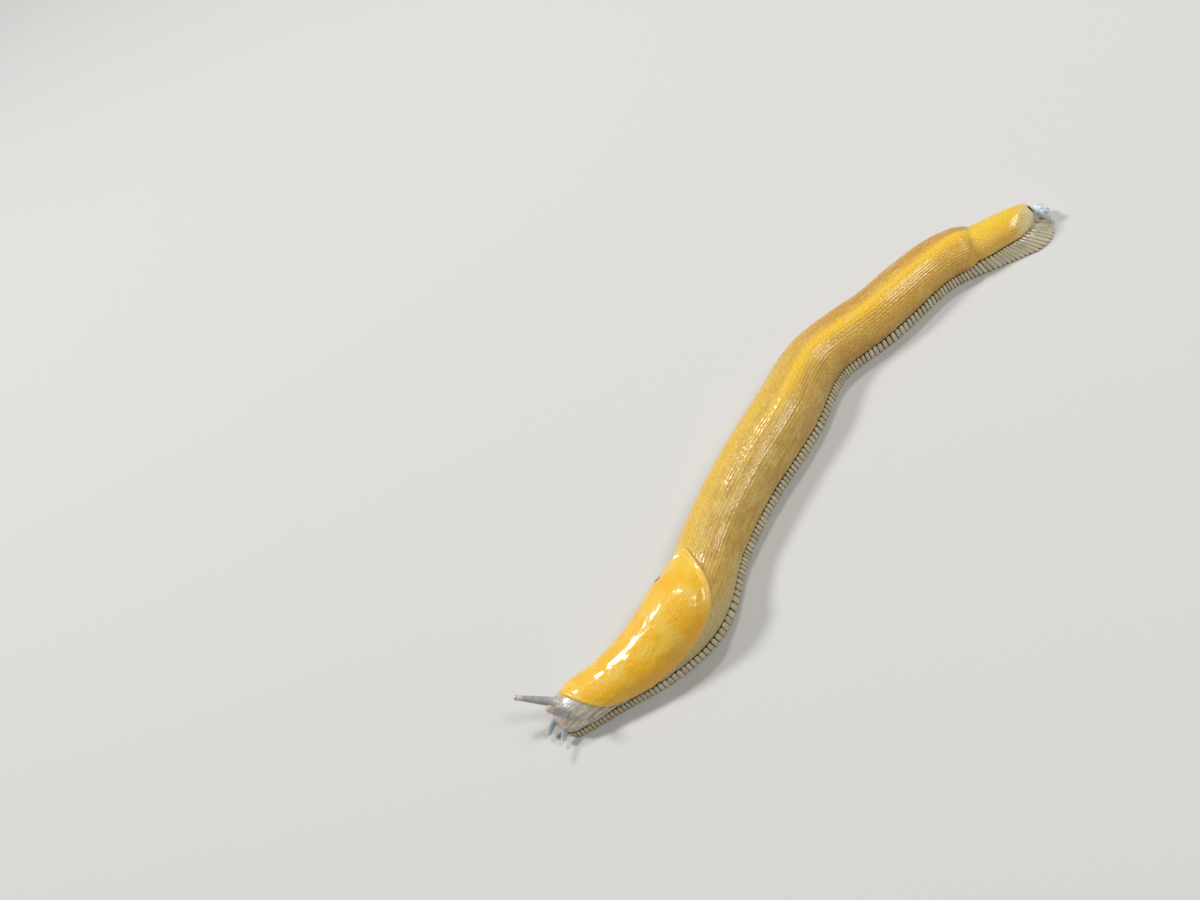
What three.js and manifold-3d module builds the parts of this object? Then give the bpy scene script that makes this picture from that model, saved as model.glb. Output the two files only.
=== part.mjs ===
// A life-size banana slug, stretched out and crawling, resting on its foot.
// Millimetres, +Z up, the head towards -X and the tail towards +X. The slug's own left side faces -Y.
import * as THREE from "three";
import { mergeVertices } from "three/addons/utils/BufferGeometryUtils.js";
import Module from "manifold-3d";

const wasm = await Module();
wasm.setup();

// Driving dimensions

// The middle of the foot on the floor, from the front of the head to the end of the tail.
const spinePoints = [
  [-99.5, -4.4], [-81, -9.2], [-66, -11.7], [-50, -9.8], [-35.5, -1.9], [-16, 5.1],
  [4.5, 10.2], [24, 16.1], [44.3, 12.6], [67, 10.2], [81.5, 2.8], [96.2, -6.8],
];

// Sizes of the cross-section at distances from the front of the head: half the width of the foot,
// the height of the back, and the height and inward lean of the foot's fringe.
const stations = [
  { at: 0, foot: 5.6, height: 7.3, fringe: 1.9, lean: 0.5 },
  { at: 6, foot: 6.3, height: 9.3, fringe: 2.0, lean: 0.6 },
  { at: 19, foot: 7.0, height: 10.4, fringe: 2.2, lean: 0.7 },
  { at: 31, foot: 8.7, height: 13.0, fringe: 2.3, lean: 0.8 },
  { at: 45, foot: 10.7, height: 16.2, fringe: 2.4, lean: 0.9 },
  { at: 57, foot: 9.6, height: 13.8, fringe: 2.5, lean: 1.0 },
  { at: 80, foot: 9.5, height: 14.4, fringe: 2.6, lean: 1.0 },
  { at: 108, foot: 10.0, height: 14.7, fringe: 2.6, lean: 1.0 },
  { at: 136, foot: 8.7, height: 13.0, fringe: 2.6, lean: 1.0 },
  { at: 160, foot: 8.3, height: 12.2, fringe: 2.7, lean: 1.0 },
  { at: 172, foot: 7.8, height: 11.4, fringe: 2.8, lean: 1.0 },
  { at: 181, foot: 7.7, height: 10.9, fringe: 3.0, lean: 1.2 },
  { at: 185.5, foot: 7.6, height: 9.7, fringe: 3.3, lean: 2.1 },
  { at: 192, foot: 7.5, height: 9.8, fringe: 3.6, lean: 2.5 },
  { at: 199, foot: 7.1, height: 9.2, fringe: 3.6, lean: 2.5 },
  { at: 203.5, foot: 6.7, height: 7.7, fringe: 2.3, lean: 2.8 },
  { at: 206.8, foot: 6.3, height: 5.7, fringe: 0.9, lean: 3.0 },
];

const gap = 0.3; // between pieces that touch
const headRounding = 5; // length over which the head rounds off
const footRounding = 7; // the same at the foot's rear end, and at the back's, which is blunter
const backRounding = 4.5;
const noseHeight = 3; // the level that the head's end rounds to
const backEnd = 202.4; // where the yellow back ends, short of the foot that runs on behind it
const tailTipHeight = 4.6; // the level that the back rounds down to there
// The tail's end turns to the right. Slant is how far each millimetre to the right reaches back.
const askew = { from: 186, slant: 0.5, sideways: -1.2 };
const bulge = 0.955; // widest half width of the flank, as a share of the foot's
const uprightLean = 1; // a fringe that leans further in than this draws the flank in with it
const roundness = 2.1; // exponent of the back's arch

const rib = {
  pitch: 2.9, tailPitch: 3.7, tailFrom: 165, tailTo: 190, // the ribs widen towards the tail
  grooveShare: 0.2, grooveDepth: 0.5, variation: 0.1, swell: 0.06,
};
// The fringe in section, from the sole up: how far in from the foot's edge each point is, with its
// shares of the lean and of the grooves' depth, and its height as a share of the fringe's.
const fringeSection = [
  { inset: 0.8, lean: 0, groove: 0.3, up: 0 },
  { inset: 0.1, lean: 0, groove: 1, up: 0.17 },
  { inset: 0, lean: 0.35, groove: 1, up: 0.55 },
  { inset: 0, lean: 0.9, groove: 1, up: 0.93 },
  { inset: 0.5, lean: 1, groove: 0.5, up: 1 },
];
const furrow = { depth: 0.2, every: 3, from: 16 };
const flankSteps = 24; // points down each flank
const ringSpacing = 4.2;

const mantle = {
  front: 5.4, shoulder: 23, corner: 49.5, rear: 61.3, // distances from the front of the head
  reach: 0.88, // the share of the flank that it covers, and what this loses each millimetre
  taper: 0.0105, taperFrom: 25,
  frontPower: 1.6, frontRoundness: 0.8, rearPower: 1.4, // of the round front and the pointed rear
  frontShift: 0.28, rearShift: 0.2, // how far its ends stand to the right, as shares of the flank
  frontShiftTo: 16, rearShiftFrom: 38,
  raise: 0.5, depth: 1.1, rim: -0.1, // of its outside, inside and edge, above the body's own surface
  rows: 26, columns: 22,
};
const breathingPore = { at: 48.3, down: 0.44, radius: 1.05, depth: 0.9 };
const mouth = { height: 3.3, width: 1.1, length: 2.4, depth: 1.3 };
const lip = { radius: 1.25, sideways: 1.35, height: 3.1, forward: 0.35 };
const tailPore = { at: 204.6, left: -4.2, height: 3.4, length: 2.8, width: 2.7, depth: 2.1 };

// Root and tip of each feeler, before the slug is centred, and its radii there.
const feelers = [
  {
    name: "tentacle_upper_left", root: [-94.6, -7.9, 6.6], tip: [-97.2, -7.7, 15.6],
    rootRadius: 1.5, tipRadius: 0.8, eye: { name: "eye_left", radius: 1.0 },
  },
  {
    name: "tentacle_upper_right", root: [-95.2, -3.3, 6.4], tip: [-102.9, 4.6, 12.0],
    rootRadius: 1.6, tipRadius: 0.6, eye: { name: "eye_right", radius: 0.78 },
  },
  {
    name: "tentacle_lower_left", root: [-97.2, -7.4, 4.4], tip: [-101.4, -9.8, 2.0],
    rootRadius: 1.1, tipRadius: 0.75,
  },
  {
    name: "tentacle_lower_right", root: [-98.2, -4.4, 4.2], tip: [-103.6, -4.9, 1.9],
    rootRadius: 1.05, tipRadius: 0.7,
  },
];

const eyeDepth = 1.55; // how much of an eye's bulb stands past the stalk, in radii

// Lengths that the body and the foot are divided into, by distance from the front of the head.
const bodyLengths = [
  { name: "head", from: 0, to: 12.5, finish: "head" },
  { name: "neck", from: 12.5, to: 34, finish: "head" },
  { name: "body_front", from: 34, to: 74, finish: "back" },
  { name: "body_middle", from: 74, to: 112, finish: "back" },
  { name: "body_rear", from: 112, to: 150, finish: "back" },
  { name: "body_end", from: 150, to: 184, finish: "back" },
  { name: "tail", from: 184, to: backEnd, finish: "back" },
];
const footLengths = [
  { name: "foot_front", from: 0, to: 54 },
  { name: "foot_middle", from: 54, to: 108 },
  { name: "foot_rear", from: 108, to: 162 },
  { name: "foot_tail", from: 162, to: Infinity },
];

const finish = (color, roughness) => new THREE.MeshStandardMaterial({ color, roughness, metalness: 0 });
const materials = {
  mantle: finish(0xf0b313, 0.22),
  back: finish(0xd9a62a, 0.32),
  head: finish(0x9a968a, 0.3),
  feeler: finish(0x8a9096, 0.3),
  eye: finish(0xb8a8a0, 0.15),
  foot: finish(0xcfc4a0, 0.35),
  mucus: finish(0xdfe6ea, 0.1),
};

// The spine and the sizes along it

const spine = new THREE.CatmullRomCurve3(
  spinePoints.map(([x, y]) => new THREE.Vector3(x, y, 0)), false, "catmullrom", 0.5);
spine.arcLengthDivisions = 2000;
const bodyLength = spine.getLength();

// The value of one size at a distance along the body, on a smooth curve through the stations.
function size(key, at) {
  const last = stations.length - 1;
  const slope = (i) => {
    const a = stations[Math.max(0, i - 1)], b = stations[Math.min(last, i + 1)];
    return (b[key] - a[key]) / (b.at - a.at);
  };
  let i = 0;
  while (i < last - 1 && stations[i + 1].at < at) i++;
  const a = stations[i], b = stations[i + 1], step = b.at - a.at;
  const t = THREE.MathUtils.clamp((at - a.at) / step, 0, 1);
  return (2 * t ** 3 - 3 * t ** 2 + 1) * a[key] + (t ** 3 - 2 * t ** 2 + t) * step * slope(i)
    + (3 * t ** 2 - 2 * t ** 3) * b[key] + (t ** 3 - t ** 2) * step * slope(i + 1);
}

// The rounding of the head and of the tail's end: 1 along the body, down to 0 at each end.
function endShare(at, end, rounding) {
  const inwards = Math.min(at / headRounding, (end - at) / rounding);
  return inwards >= 1 ? 1 : Math.sqrt(Math.max(0, 1 - (1 - inwards) ** 2));
}

// How much of the turn of the tail's end there is at a distance along the body.
const lateness = (at) => THREE.MathUtils.smoothstep(at, askew.from, backEnd);

// A point of the body from its distance along the spine, its offset to the left and its height.
function place(at, left, height) {
  const u = THREE.MathUtils.clamp(at / bodyLength, 0, 1);
  const middle = spine.getPointAt(u), along = spine.getTangentAt(u);
  return new THREE.Vector3(middle.x + along.y * left, middle.y - along.x * left, height);
}

// One flank in section, evenly spaced from the middle of the back down to the groove above the foot.
function flank(at, steps) {
  const foot = size("foot", at), height = size("height", at);
  const low = size("fringe", at) + gap, waist = low + 0.25 * (height - low);
  const lean = size("lean", at), groove = foot - lean - gap;
  const widest = foot * bulge - Math.max(0, lean - uprightLean);
  const curve = [];
  for (let i = 0; i <= 24; i++) {
    const angle = (i / 24) * Math.PI / 2;
    curve.push([widest * Math.sin(angle) ** (2 / roundness),
      waist + (height - waist) * Math.abs(Math.cos(angle)) ** (2 / roundness)]);
  }
  for (let i = 1; i <= 8; i++) {
    const down = i / 8;
    curve.push([groove + (widest - groove) * Math.sqrt(1 - down * down), waist - (waist - low) * down]);
  }
  const run = [0];
  for (let i = 1; i < curve.length; i++) {
    run.push(run[i - 1] + Math.hypot(curve[i][0] - curve[i - 1][0], curve[i][1] - curve[i - 1][1]));
  }
  const points = [];
  for (let i = 0, k = 0; i <= steps; i++) {
    const wanted = run.at(-1) * i / steps;
    while (k < run.length - 2 && run[k + 1] < wanted) k++;
    const t = (wanted - run[k]) / (run[k + 1] - run[k]);
    points.push([0, 1].map((c) => curve[k][c] + t * (curve[k + 1][c] - curve[k][c])));
  }
  return points;
}

// A point on the skin: across runs from -1, the left groove, over the back at 0, to 1, the right groove.
// outwards lifts it off the skin.
function skin(at, across, outwards = 0) {
  const points = flank(at, flankSteps), x = Math.min(Math.abs(across), 1) * flankSteps;
  const i = Math.min(Math.floor(x), flankSteps - 1), t = x - i, a = points[i], b = points[i + 1];
  const run = Math.hypot(b[0] - a[0], b[1] - a[1]);
  const side = a[0] + t * (b[0] - a[0]) - outwards * (b[1] - a[1]) / run;
  const height = a[1] + t * (b[1] - a[1]) + outwards * (b[0] - a[0]) / run;
  const level = at < bodyLength / 2 ? noseHeight : tailTipHeight;
  const share = endShare(at, backEnd, backRounding), left = -Math.sign(across) * side * share;
  const late = lateness(at), reached = at - askew.slant * late * left;
  const dip = (size("fringe", reached) - size("fringe", at)) * across ** 2;
  return place(reached, left + askew.sideways * late, level + (height + dip - level) * share);
}

// Closed shapes

function geometryOf(corners, faces) {
  const merged = mergeVertices(new THREE.BufferGeometry()
    .setAttribute("position", new THREE.Float32BufferAttribute(corners.flatMap((p) => [p.x, p.y, p.z]), 3))
    .setIndex(faces.flat()), 1e-4);
  const index = merged.index.array, kept = [];
  for (let i = 0; i < index.length; i += 3) {
    const [a, b, c] = index.slice(i, i + 3);
    if (a !== b && b !== c && c !== a) kept.push(a, b, c);
  }
  return merged.setIndex(kept);
}

function solidOf(geometry) {
  const bare = new THREE.BufferGeometry().setAttribute("position", geometry.getAttribute("position"));
  if (geometry.index) bare.setIndex(geometry.index);
  const merged = mergeVertices(bare, 1e-4);
  const triVerts = new Uint32Array(merged.index.array);
  const made = new wasm.Manifold(new wasm.Mesh({
    numProp: 3, vertProperties: merged.getAttribute("position").array, triVerts }));
  if (made.volume() > 0) return made;
  for (let i = 0; i < triVerts.length; i += 3) {
    [triVerts[i], triVerts[i + 1]] = [triVerts[i + 1], triVerts[i]];
  }
  return new wasm.Manifold(new wasm.Mesh({
    numProp: 3, vertProperties: merged.getAttribute("position").array, triVerts }));
}

// Skins a row of equal rings, with a flat fan over each end.
function loft(rings) {
  const corners = rings.flat(), faces = [], around = rings[0].length;
  for (let r = 0; r < rings.length - 1; r++) {
    for (let i = 0; i < around; i++) {
      const a = r * around + i, b = r * around + (i + 1) % around;
      faces.push([a, b, a + around], [b, b + around, a + around]);
    }
  }
  for (const [first, turn] of [[0, 1], [(rings.length - 1) * around, 0]]) {
    const middle = new THREE.Vector3();
    for (let i = 0; i < around; i++) middle.addScaledVector(corners[first + i], 1 / around);
    const centre = corners.push(middle) - 1;
    for (let i = 0; i < around; i++) {
      const a = first + i, b = first + (i + 1) % around;
      faces.push(turn ? [b, a, centre] : [a, b, centre]);
    }
  }
  return solidOf(geometryOf(corners, faces));
}

// The stretch of the whole that a node holds, in distances along the spine.
const stretch = ({ from, to }, end) => [from ? from + gap / 2 : 0.02, to < end ? to - gap / 2 : end - 0.02];

// The distances of rings along a stretch of the back, closer together where the ends are rounded.
function ringPlaces([from, to], spacing) {
  const places = [], inner = Math.max(from, headRounding), outer = Math.min(to, backEnd - backRounding);
  const turns = Math.ceil(headRounding * Math.PI / 2 / spacing) + 2;
  const quarter = (i) => (i / turns) * Math.PI / 2;
  if (from < inner) {
    for (let i = 0; i < turns; i++) places.push(from + (inner - from) * (1 - Math.cos(quarter(i))));
  }
  const steps = Math.max(2, Math.round((outer - inner) / spacing));
  for (let i = 0; i <= steps; i++) places.push(inner + (outer - inner) * i / steps);
  if (to > outer) {
    for (let i = 1; i <= turns; i++) places.push(outer + (to - outer) * Math.sin(quarter(i)));
  }
  return places;
}

// Makes the same small variations each time.
function seeded(seed) {
  return () => {
    seed = (seed * 1664525 + 1013904223) % 4294967296;
    return seed / 4294967296;
  };
}

// The back and flanks, flat below where they sit on the foot, with long furrows behind the neck.
function trunk(length, outwards = 0) {
  return loft(ringPlaces(stretch(length, backEnd), ringSpacing).map((at) => {
    const ring = [];
    for (let i = -flankSteps; i <= flankSteps; i++) {
      const edge = Math.abs(i) === flankSteps;
      const inFurrow = at > furrow.from && !edge && Math.abs(i) % furrow.every === 1;
      ring.push(skin(at, i / flankSteps, outwards - (inFurrow ? furrow.depth : 0)));
    }
    return ring;
  }));
}

// The sole and its fringe of ribs, which run all along both sides.
function foot(length) {
  const [from, to] = stretch(length, bodyLength), random = seeded(7 + Math.round(from));
  const cuts = [{ at: from, groove: 0 }];
  for (let at = from + 0.4; at < to - 0.4;) {
    const tailShare = THREE.MathUtils.smoothstep(at, rib.tailFrom, rib.tailTo);
    const pitch = THREE.MathUtils.lerp(rib.pitch, rib.tailPitch, tailShare)
      * (1 + rib.variation * (2 * random() - 1)) * Math.max(0.3, endShare(at, bodyLength, footRounding) ** 2);
    const swell = rib.swell * random();
    cuts.push({ at: at + rib.grooveShare * pitch, groove: -swell });
    cuts.push({ at: at + (1 - rib.grooveShare) * pitch, groove: -swell });
    cuts.push({ at: at + pitch, groove: rib.grooveDepth });
    at += pitch;
  }
  const kept = cuts.filter(({ at }) => at < to - 0.3);
  kept.push({ at: to, groove: 0 });
  return loft(kept.map(({ at, groove }) => {
    const width = size("foot", at), high = size("fringe", at), lean = size("lean", at);
    const narrow = Math.max(endShare(at, bodyLength, footRounding), 0.02);
    const side = (p) => (width - p.inset - p.lean * lean - p.groove * groove) * narrow;
    const turn = (p) => askew.sideways * lateness(at) * p.up;
    const left = fringeSection.map((p) => place(at, side(p) + turn(p), p.up * high));
    const right = fringeSection.map((p) => place(at, turn(p) - side(p), p.up * high));
    return [...left, ...right.reverse()];
  }));
}

// The middle of the mantle and half its width at a distance along the body, as shares of the flank.
function mantleAcross(at) {
  const { front, shoulder, corner, rear, frontPower, frontRoundness, rearPower } = mantle;
  const share = (from, to) => THREE.MathUtils.clamp((at - from) / (to - from), 0, 1);
  const frontCurve = (1 - share(shoulder, front) ** frontPower) ** frontRoundness;
  const rearCurve = 1 - share(corner, rear) ** rearPower;
  const side = mantle.reach - mantle.taper * Math.max(0, at - mantle.taperFrom);
  const middle = mantle.frontShift * (1 - THREE.MathUtils.smoothstep(at, front, mantle.frontShiftTo))
    + mantle.rearShift * THREE.MathUtils.smoothstep(at, mantle.rearShiftFrom, rear);
  return { middle, half: side * frontCurve * rearCurve };
}

// The saddle of the mantle between its outside and inside. A cutter for what lies under it is
// wider by clearance and stands far above it.
function mantleSolid(clearance = 0) {
  const { rows, columns, front, rear, raise, depth, rim } = mantle, corners = [], faces = [];
  const top = clearance ? 4 : raise, bottom = -depth - clearance;
  for (const inside of [false, true]) {
    for (let r = 0; r <= rows; r++) {
      const turn = r / rows, at = front + (rear - front) * (1 - Math.cos(turn * Math.PI)) / 2;
      const { middle, half } = mantleAcross(at), shifted = at + clearance * -Math.cos(turn * Math.PI) * 1.2;
      const endThin = Math.sqrt(1 - Math.abs(2 * turn - 1) ** 8);
      for (let c = 0; c <= columns; c++) {
        const x = -Math.cos(c / columns * Math.PI), thin = endThin * Math.sqrt(1 - Math.abs(x) ** 8);
        const side = middle + x * (half + clearance * 0.075);
        const edge = inside ? rim - clearance : rim;
        const level = clearance && !inside ? top : edge + ((inside ? bottom : top) - edge) * thin;
        corners.push(skin(shifted, side, level));
      }
    }
  }
  const across = columns + 1, layer = (rows + 1) * across;
  const quad = (a, b, c, d) => faces.push([a, b, c], [a, c, d]);
  for (let r = 0; r < rows; r++) {
    for (let c = 0; c < columns; c++) {
      const a = r * across + c;
      quad(a, a + 1, a + across + 1, a + across);
      quad(a + layer, a + layer + across, a + layer + across + 1, a + layer + 1);
    }
    for (const [a, turn] of [[r * across, 0], [r * across + columns, 1]]) {
      if (turn) quad(a, a + layer, a + layer + across, a + across);
      else quad(a, a + across, a + across + layer, a + layer);
    }
  }
  for (let c = 0; c < columns; c++) {
    const a = c, b = rows * across + c;
    quad(a, a + layer, a + layer + 1, a + 1);
    quad(b, b + 1, b + 1 + layer, b + layer);
  }
  return solidOf(geometryOf(corners, faces));
}

// An ellipsoid with its long axis turned to a heading in the floor plane.
function ellipsoid(centre, radii, heading = 0, segments = 14) {
  return solidOf(new THREE.SphereGeometry(1, segments, Math.ceil(segments * 0.7)).scale(...radii)
    .rotateZ(heading).translate(centre.x, centre.y, centre.z));
}

const headingAt = (at) => {
  const along = spine.getTangentAt(THREE.MathUtils.clamp(at / bodyLength, 0, 1));
  return Math.atan2(along.y, along.x);
};

// A shape turned about its own axis, stood at start and pointing at end.
function turned(profile, start, end, segments = 14) {
  const geometry = new THREE.LatheGeometry(profile.map(([r, y]) => new THREE.Vector2(r, y)), segments);
  const heading = new THREE.Quaternion().setFromUnitVectors(
    new THREE.Vector3(0, 1, 0), end.clone().sub(start).normalize());
  return solidOf(geometry.applyQuaternion(heading).translate(start.x, start.y, start.z));
}

// A feeler's stalk. It widens into its root, and under an eye it ends in a flat face.
function stalk({ root, tip, rootRadius, tipRadius, eye }) {
  const start = new THREE.Vector3(...root), end = new THREE.Vector3(...tip), reach = start.distanceTo(end);
  const length = eye ? reach - eye.radius * eyeDepth : reach - tipRadius;
  const profile = [[0, -1.2], [rootRadius * 1.12, -1.2]], steps = 7;
  for (let i = 0; i <= steps; i++) {
    const t = i / steps, flare = 0.35 * Math.exp(-t * 7);
    profile.push([(rootRadius + (tipRadius - rootRadius) * t ** 0.8) * (1 + flare), length * t]);
  }
  if (eye) profile.push([0, length]);
  else for (let i = 1; i <= 4; i++) {
    const angle = i / 4 * Math.PI / 2;
    profile.push([i === 4 ? 0 : tipRadius * Math.cos(angle), length + tipRadius * Math.sin(angle)]);
  }
  return turned(profile, start, end);
}

// The bulb that holds the eye, cut flat where it meets its stalk.
function eyeBulb({ root, tip, eye }) {
  const start = new THREE.Vector3(...root), end = new THREE.Vector3(...tip), reach = start.distanceTo(end);
  const { radius } = eye, base = reach - radius * eyeDepth + gap, middle = reach - radius;
  const profile = [[0, base]], steps = 8, first = Math.asin((base - middle) / radius);
  for (let i = 0; i <= steps; i++) {
    const angle = first + (Math.PI / 2 - first) * i / steps;
    profile.push([i === steps ? 0 : radius * Math.cos(angle), middle + radius * Math.sin(angle)]);
  }
  return turned(profile, start, end);
}

// The nodes

const slug = new THREE.Group();

function add(name, solid, material) {
  const largest = solid.decompose().reduce((a, b) => (b.volume() > a.volume() ? b : a));
  const { vertProperties, numProp, numVert, triVerts } = largest.getMesh();
  const corners = new Float32Array(numVert * 3);
  for (let i = 0; i < numVert; i++) {
    corners.set(vertProperties.subarray(i * numProp, i * numProp + 3), i * 3);
  }
  const geometry = new THREE.BufferGeometry()
    .setAttribute("position", new THREE.BufferAttribute(corners, 3))
    .setIndex(new THREE.BufferAttribute(triVerts, 1));
  geometry.computeVertexNormals();
  const mesh = new THREE.Mesh(geometry, material);
  mesh.name = name;
  slug.add(mesh);
}

const underMantle = mantleSolid(gap);
const poreCentre = place(tailPore.at, tailPore.left, tailPore.height);
const poreRadii = [tailPore.length, tailPore.width, tailPore.depth];
const pit = ellipsoid(poreCentre, poreRadii, headingAt(tailPore.at));

// The lips stand either side of a short upright mouth, low on the front of the head.
function headSolid() {
  const heading = headingAt(0), front = place(0, 0, 0);
  const ahead = new THREE.Vector3(-Math.cos(heading), -Math.sin(heading), 0);
  const leftwards = new THREE.Vector3(Math.sin(heading), -Math.cos(heading), 0);
  let solid = trunk(bodyLengths[0]);
  for (const side of [-1, 1]) {
    const centre = front.clone().addScaledVector(ahead, lip.forward - lip.radius)
      .addScaledVector(leftwards, side * lip.sideways);
    centre.z = lip.height;
    solid = solid.add(ellipsoid(centre, [lip.radius, lip.radius, lip.radius * 0.85], heading, 12));
  }
  const opening = front.clone().addScaledVector(ahead, -0.2).setZ(mouth.height);
  solid = solid.subtract(ellipsoid(opening, [mouth.depth, mouth.width / 2, mouth.length / 2], heading));
  return solid;
}

const wholeHead = headSolid();
const headClearance = trunk(bodyLengths[0], gap);

for (const length of bodyLengths) {
  let solid = length.name === "head" ? wholeHead : trunk(length);
  if (length.from < mantle.rear) solid = solid.subtract(underMantle);
  if (length.name === "tail") solid = solid.subtract(pit);
  add(length.name, solid, materials[length.finish]);
}

for (const length of footLengths) {
  const solid = foot(length);
  add(length.name, length.to === Infinity ? solid.subtract(pit) : solid, materials.foot);
}

const poreMouth = ellipsoid(skin(breathingPore.at, breathingPore.down, mantle.raise),
  [breathingPore.radius * 1.2, breathingPore.depth, breathingPore.radius], headingAt(breathingPore.at));
add("mantle", mantleSolid().subtract(poreMouth), materials.mantle);

const mantleClearance = mantleSolid(gap);
for (const feeler of feelers) {
  const whole = stalk(feeler).subtract(headClearance).subtract(wholeHead).subtract(mantleClearance);
  add(feeler.name, whole, materials.feeler);
  if (feeler.eye) add(feeler.eye.name, eyeBulb(feeler), materials.eye);
}

const plugRadii = poreRadii.map((radius) => radius - gap * 1.1);
add("mucus_plug", ellipsoid(poreCentre, plugRadii, headingAt(tailPore.at)), materials.mucus);

// The slug is centred over the origin, with its sole on the floor.
const bounds = new THREE.Box3().setFromObject(slug), centre = bounds.getCenter(new THREE.Vector3());
slug.position.set(-centre.x, -centre.y, -bounds.min.z);

export default slug;
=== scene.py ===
import math
import bpy
import bmesh
import numpy as np
from mathutils import Matrix, Vector, kdtree


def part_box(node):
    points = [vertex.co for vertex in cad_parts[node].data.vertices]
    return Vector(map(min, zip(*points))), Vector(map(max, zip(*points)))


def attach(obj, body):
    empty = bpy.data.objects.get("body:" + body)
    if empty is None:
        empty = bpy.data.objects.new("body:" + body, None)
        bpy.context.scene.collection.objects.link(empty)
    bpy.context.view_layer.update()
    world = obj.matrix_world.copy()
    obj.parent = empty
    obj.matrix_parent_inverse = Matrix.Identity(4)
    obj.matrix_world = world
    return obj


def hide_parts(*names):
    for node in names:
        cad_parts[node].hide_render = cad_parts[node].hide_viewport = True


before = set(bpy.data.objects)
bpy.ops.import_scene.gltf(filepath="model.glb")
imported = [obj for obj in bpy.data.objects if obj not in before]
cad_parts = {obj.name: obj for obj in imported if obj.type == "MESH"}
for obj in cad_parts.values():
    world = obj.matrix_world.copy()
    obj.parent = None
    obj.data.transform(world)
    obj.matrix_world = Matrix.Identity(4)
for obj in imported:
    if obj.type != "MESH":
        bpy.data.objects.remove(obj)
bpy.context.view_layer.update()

scene = bpy.context.scene
mm = 0.001

# The line of the slug on the floor and the sizes of its cross-section, as its solids have them.
# Lengths are millimetres, and a place along the slug counts from the front of the head.
body = {
    "spine": [(-99.5, -4.4), (-81, -9.2), (-66, -11.7), (-50, -9.8), (-35.5, -1.9), (-16, 5.1),
              (4.5, 10.2), (24, 16.1), (44.3, 12.6), (67, 10.2), (81.5, 2.8), (96.2, -6.8)],
    # place, half width of the foot, height of the back, height and inward lean of the fringe
    "stations": [
        (0, 5.6, 7.3, 1.9, 0.5), (6, 6.3, 9.3, 2.0, 0.6), (19, 7.0, 10.4, 2.2, 0.7),
        (31, 8.7, 13.0, 2.3, 0.8), (45, 10.7, 16.2, 2.4, 0.9), (57, 9.6, 13.8, 2.5, 1.0),
        (80, 9.5, 14.4, 2.6, 1.0), (108, 10.0, 14.7, 2.6, 1.0), (136, 8.7, 13.0, 2.6, 1.0),
        (160, 8.3, 12.2, 2.7, 1.0), (172, 7.8, 11.4, 2.8, 1.0), (181, 7.7, 10.9, 3.0, 1.2),
        (185.5, 7.6, 9.7, 3.3, 2.1), (192, 7.5, 9.8, 3.6, 2.5), (199, 7.1, 9.2, 3.6, 2.5),
        (203.5, 6.7, 7.7, 2.3, 2.8), (206.8, 6.3, 5.7, 0.9, 3.0)],
    "backEnd": 202.4,
    "headRounding": 5.0,
    "footRounding": 7.0,
    "backRounding": 4.5,
    "askewFrom": 186.0,      # the tail's end turns to the right from here
    "slant": 0.5,            # how far each millimetre to the right reaches back
    "sideways": -1.2,        # how far the end's top stands to the left
    "noseHeight": 3.0,
    "tailTipHeight": 4.6,
    "bulge": 0.955,
    "uprightLean": 1.0,      # a fringe that leans further in than this draws the flank in
    "roundness": 2.1,
    "gap": 0.3,
}


def makeLine(points, steps=400):
    # the smooth line through the points, its running length and its direction
    p = np.array(points, float)
    p = np.vstack([2 * p[0] - p[1], p, 2 * p[-1] - p[-2]])
    u = np.linspace(0, len(points) - 1, (len(points) - 1) * steps + 1)
    i = np.minimum(u.astype(int), len(points) - 2)
    t = (u - i)[:, None]
    p0, p1, p2, p3 = p[i], p[i + 1], p[i + 2], p[i + 3]
    v1, v2 = (p2 - p0) / 2, (p3 - p1) / 2
    line = (2 * p1 - 2 * p2 + v1 + v2) * t ** 3 + (-3 * p1 + 3 * p2 - 2 * v1 - v2) * t ** 2 + v1 * t + p1
    run = np.concatenate([[0], np.cumsum(np.hypot(*np.diff(line, axis=0).T))])
    direction = np.gradient(line, run, axis=0)
    direction /= np.linalg.norm(direction, axis=1)[:, None]
    return line, run, direction


spineLine, spineRun, spineAlong = makeLine(body["spine"])
bodyLength = spineRun[-1]
stationAt, *stationSizes = np.array(body["stations"], float).T


def sizeAt(which, at):
    # one size at places along the slug, on a smooth curve through the stations
    y = stationSizes[which]
    x = stationAt
    low = np.maximum(np.arange(len(x)) - 1, 0)
    high = np.minimum(np.arange(len(x)) + 1, len(x) - 1)
    slope = (y[high] - y[low]) / (x[high] - x[low])
    i = np.clip(np.searchsorted(x, at) - 1, 0, len(x) - 2)
    step = x[i + 1] - x[i]
    t = np.clip((at - x[i]) / step, 0, 1)
    return ((2 * t ** 3 - 3 * t ** 2 + 1) * y[i] + (t ** 3 - 2 * t ** 2 + t) * step * slope[i]
            + (3 * t ** 2 - 2 * t ** 3) * y[i + 1] + (t ** 3 - t ** 2) * step * slope[i + 1])


def footWidth(at):
    return sizeAt(0, at)


def backHeight(at):
    return sizeAt(1, at)


def fringeHeight(at):
    return sizeAt(2, at)


def fringeLean(at):
    return sizeAt(3, at)


def smoothstep(low, high, x):
    t = np.clip((x - low) / (high - low), 0, 1)
    return t * t * (3 - 2 * t)


def endShare(at, end, rounding):
    # 1 along the slug, down to 0 at its rounded ends
    inwards = np.minimum(at / body["headRounding"], (end - at) / rounding)
    return np.sqrt(np.clip(1 - np.clip(1 - inwards, 0, 1) ** 2, 0, 1))


def spineAt(at):
    # the place and the direction of the spine
    return [np.interp(at, spineRun, part) for part in (*spineLine.T, *spineAlong.T)]


def headingAt(at):
    ax, ay = spineAt(at)[2:]
    return math.atan2(ay, ax)


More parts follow.
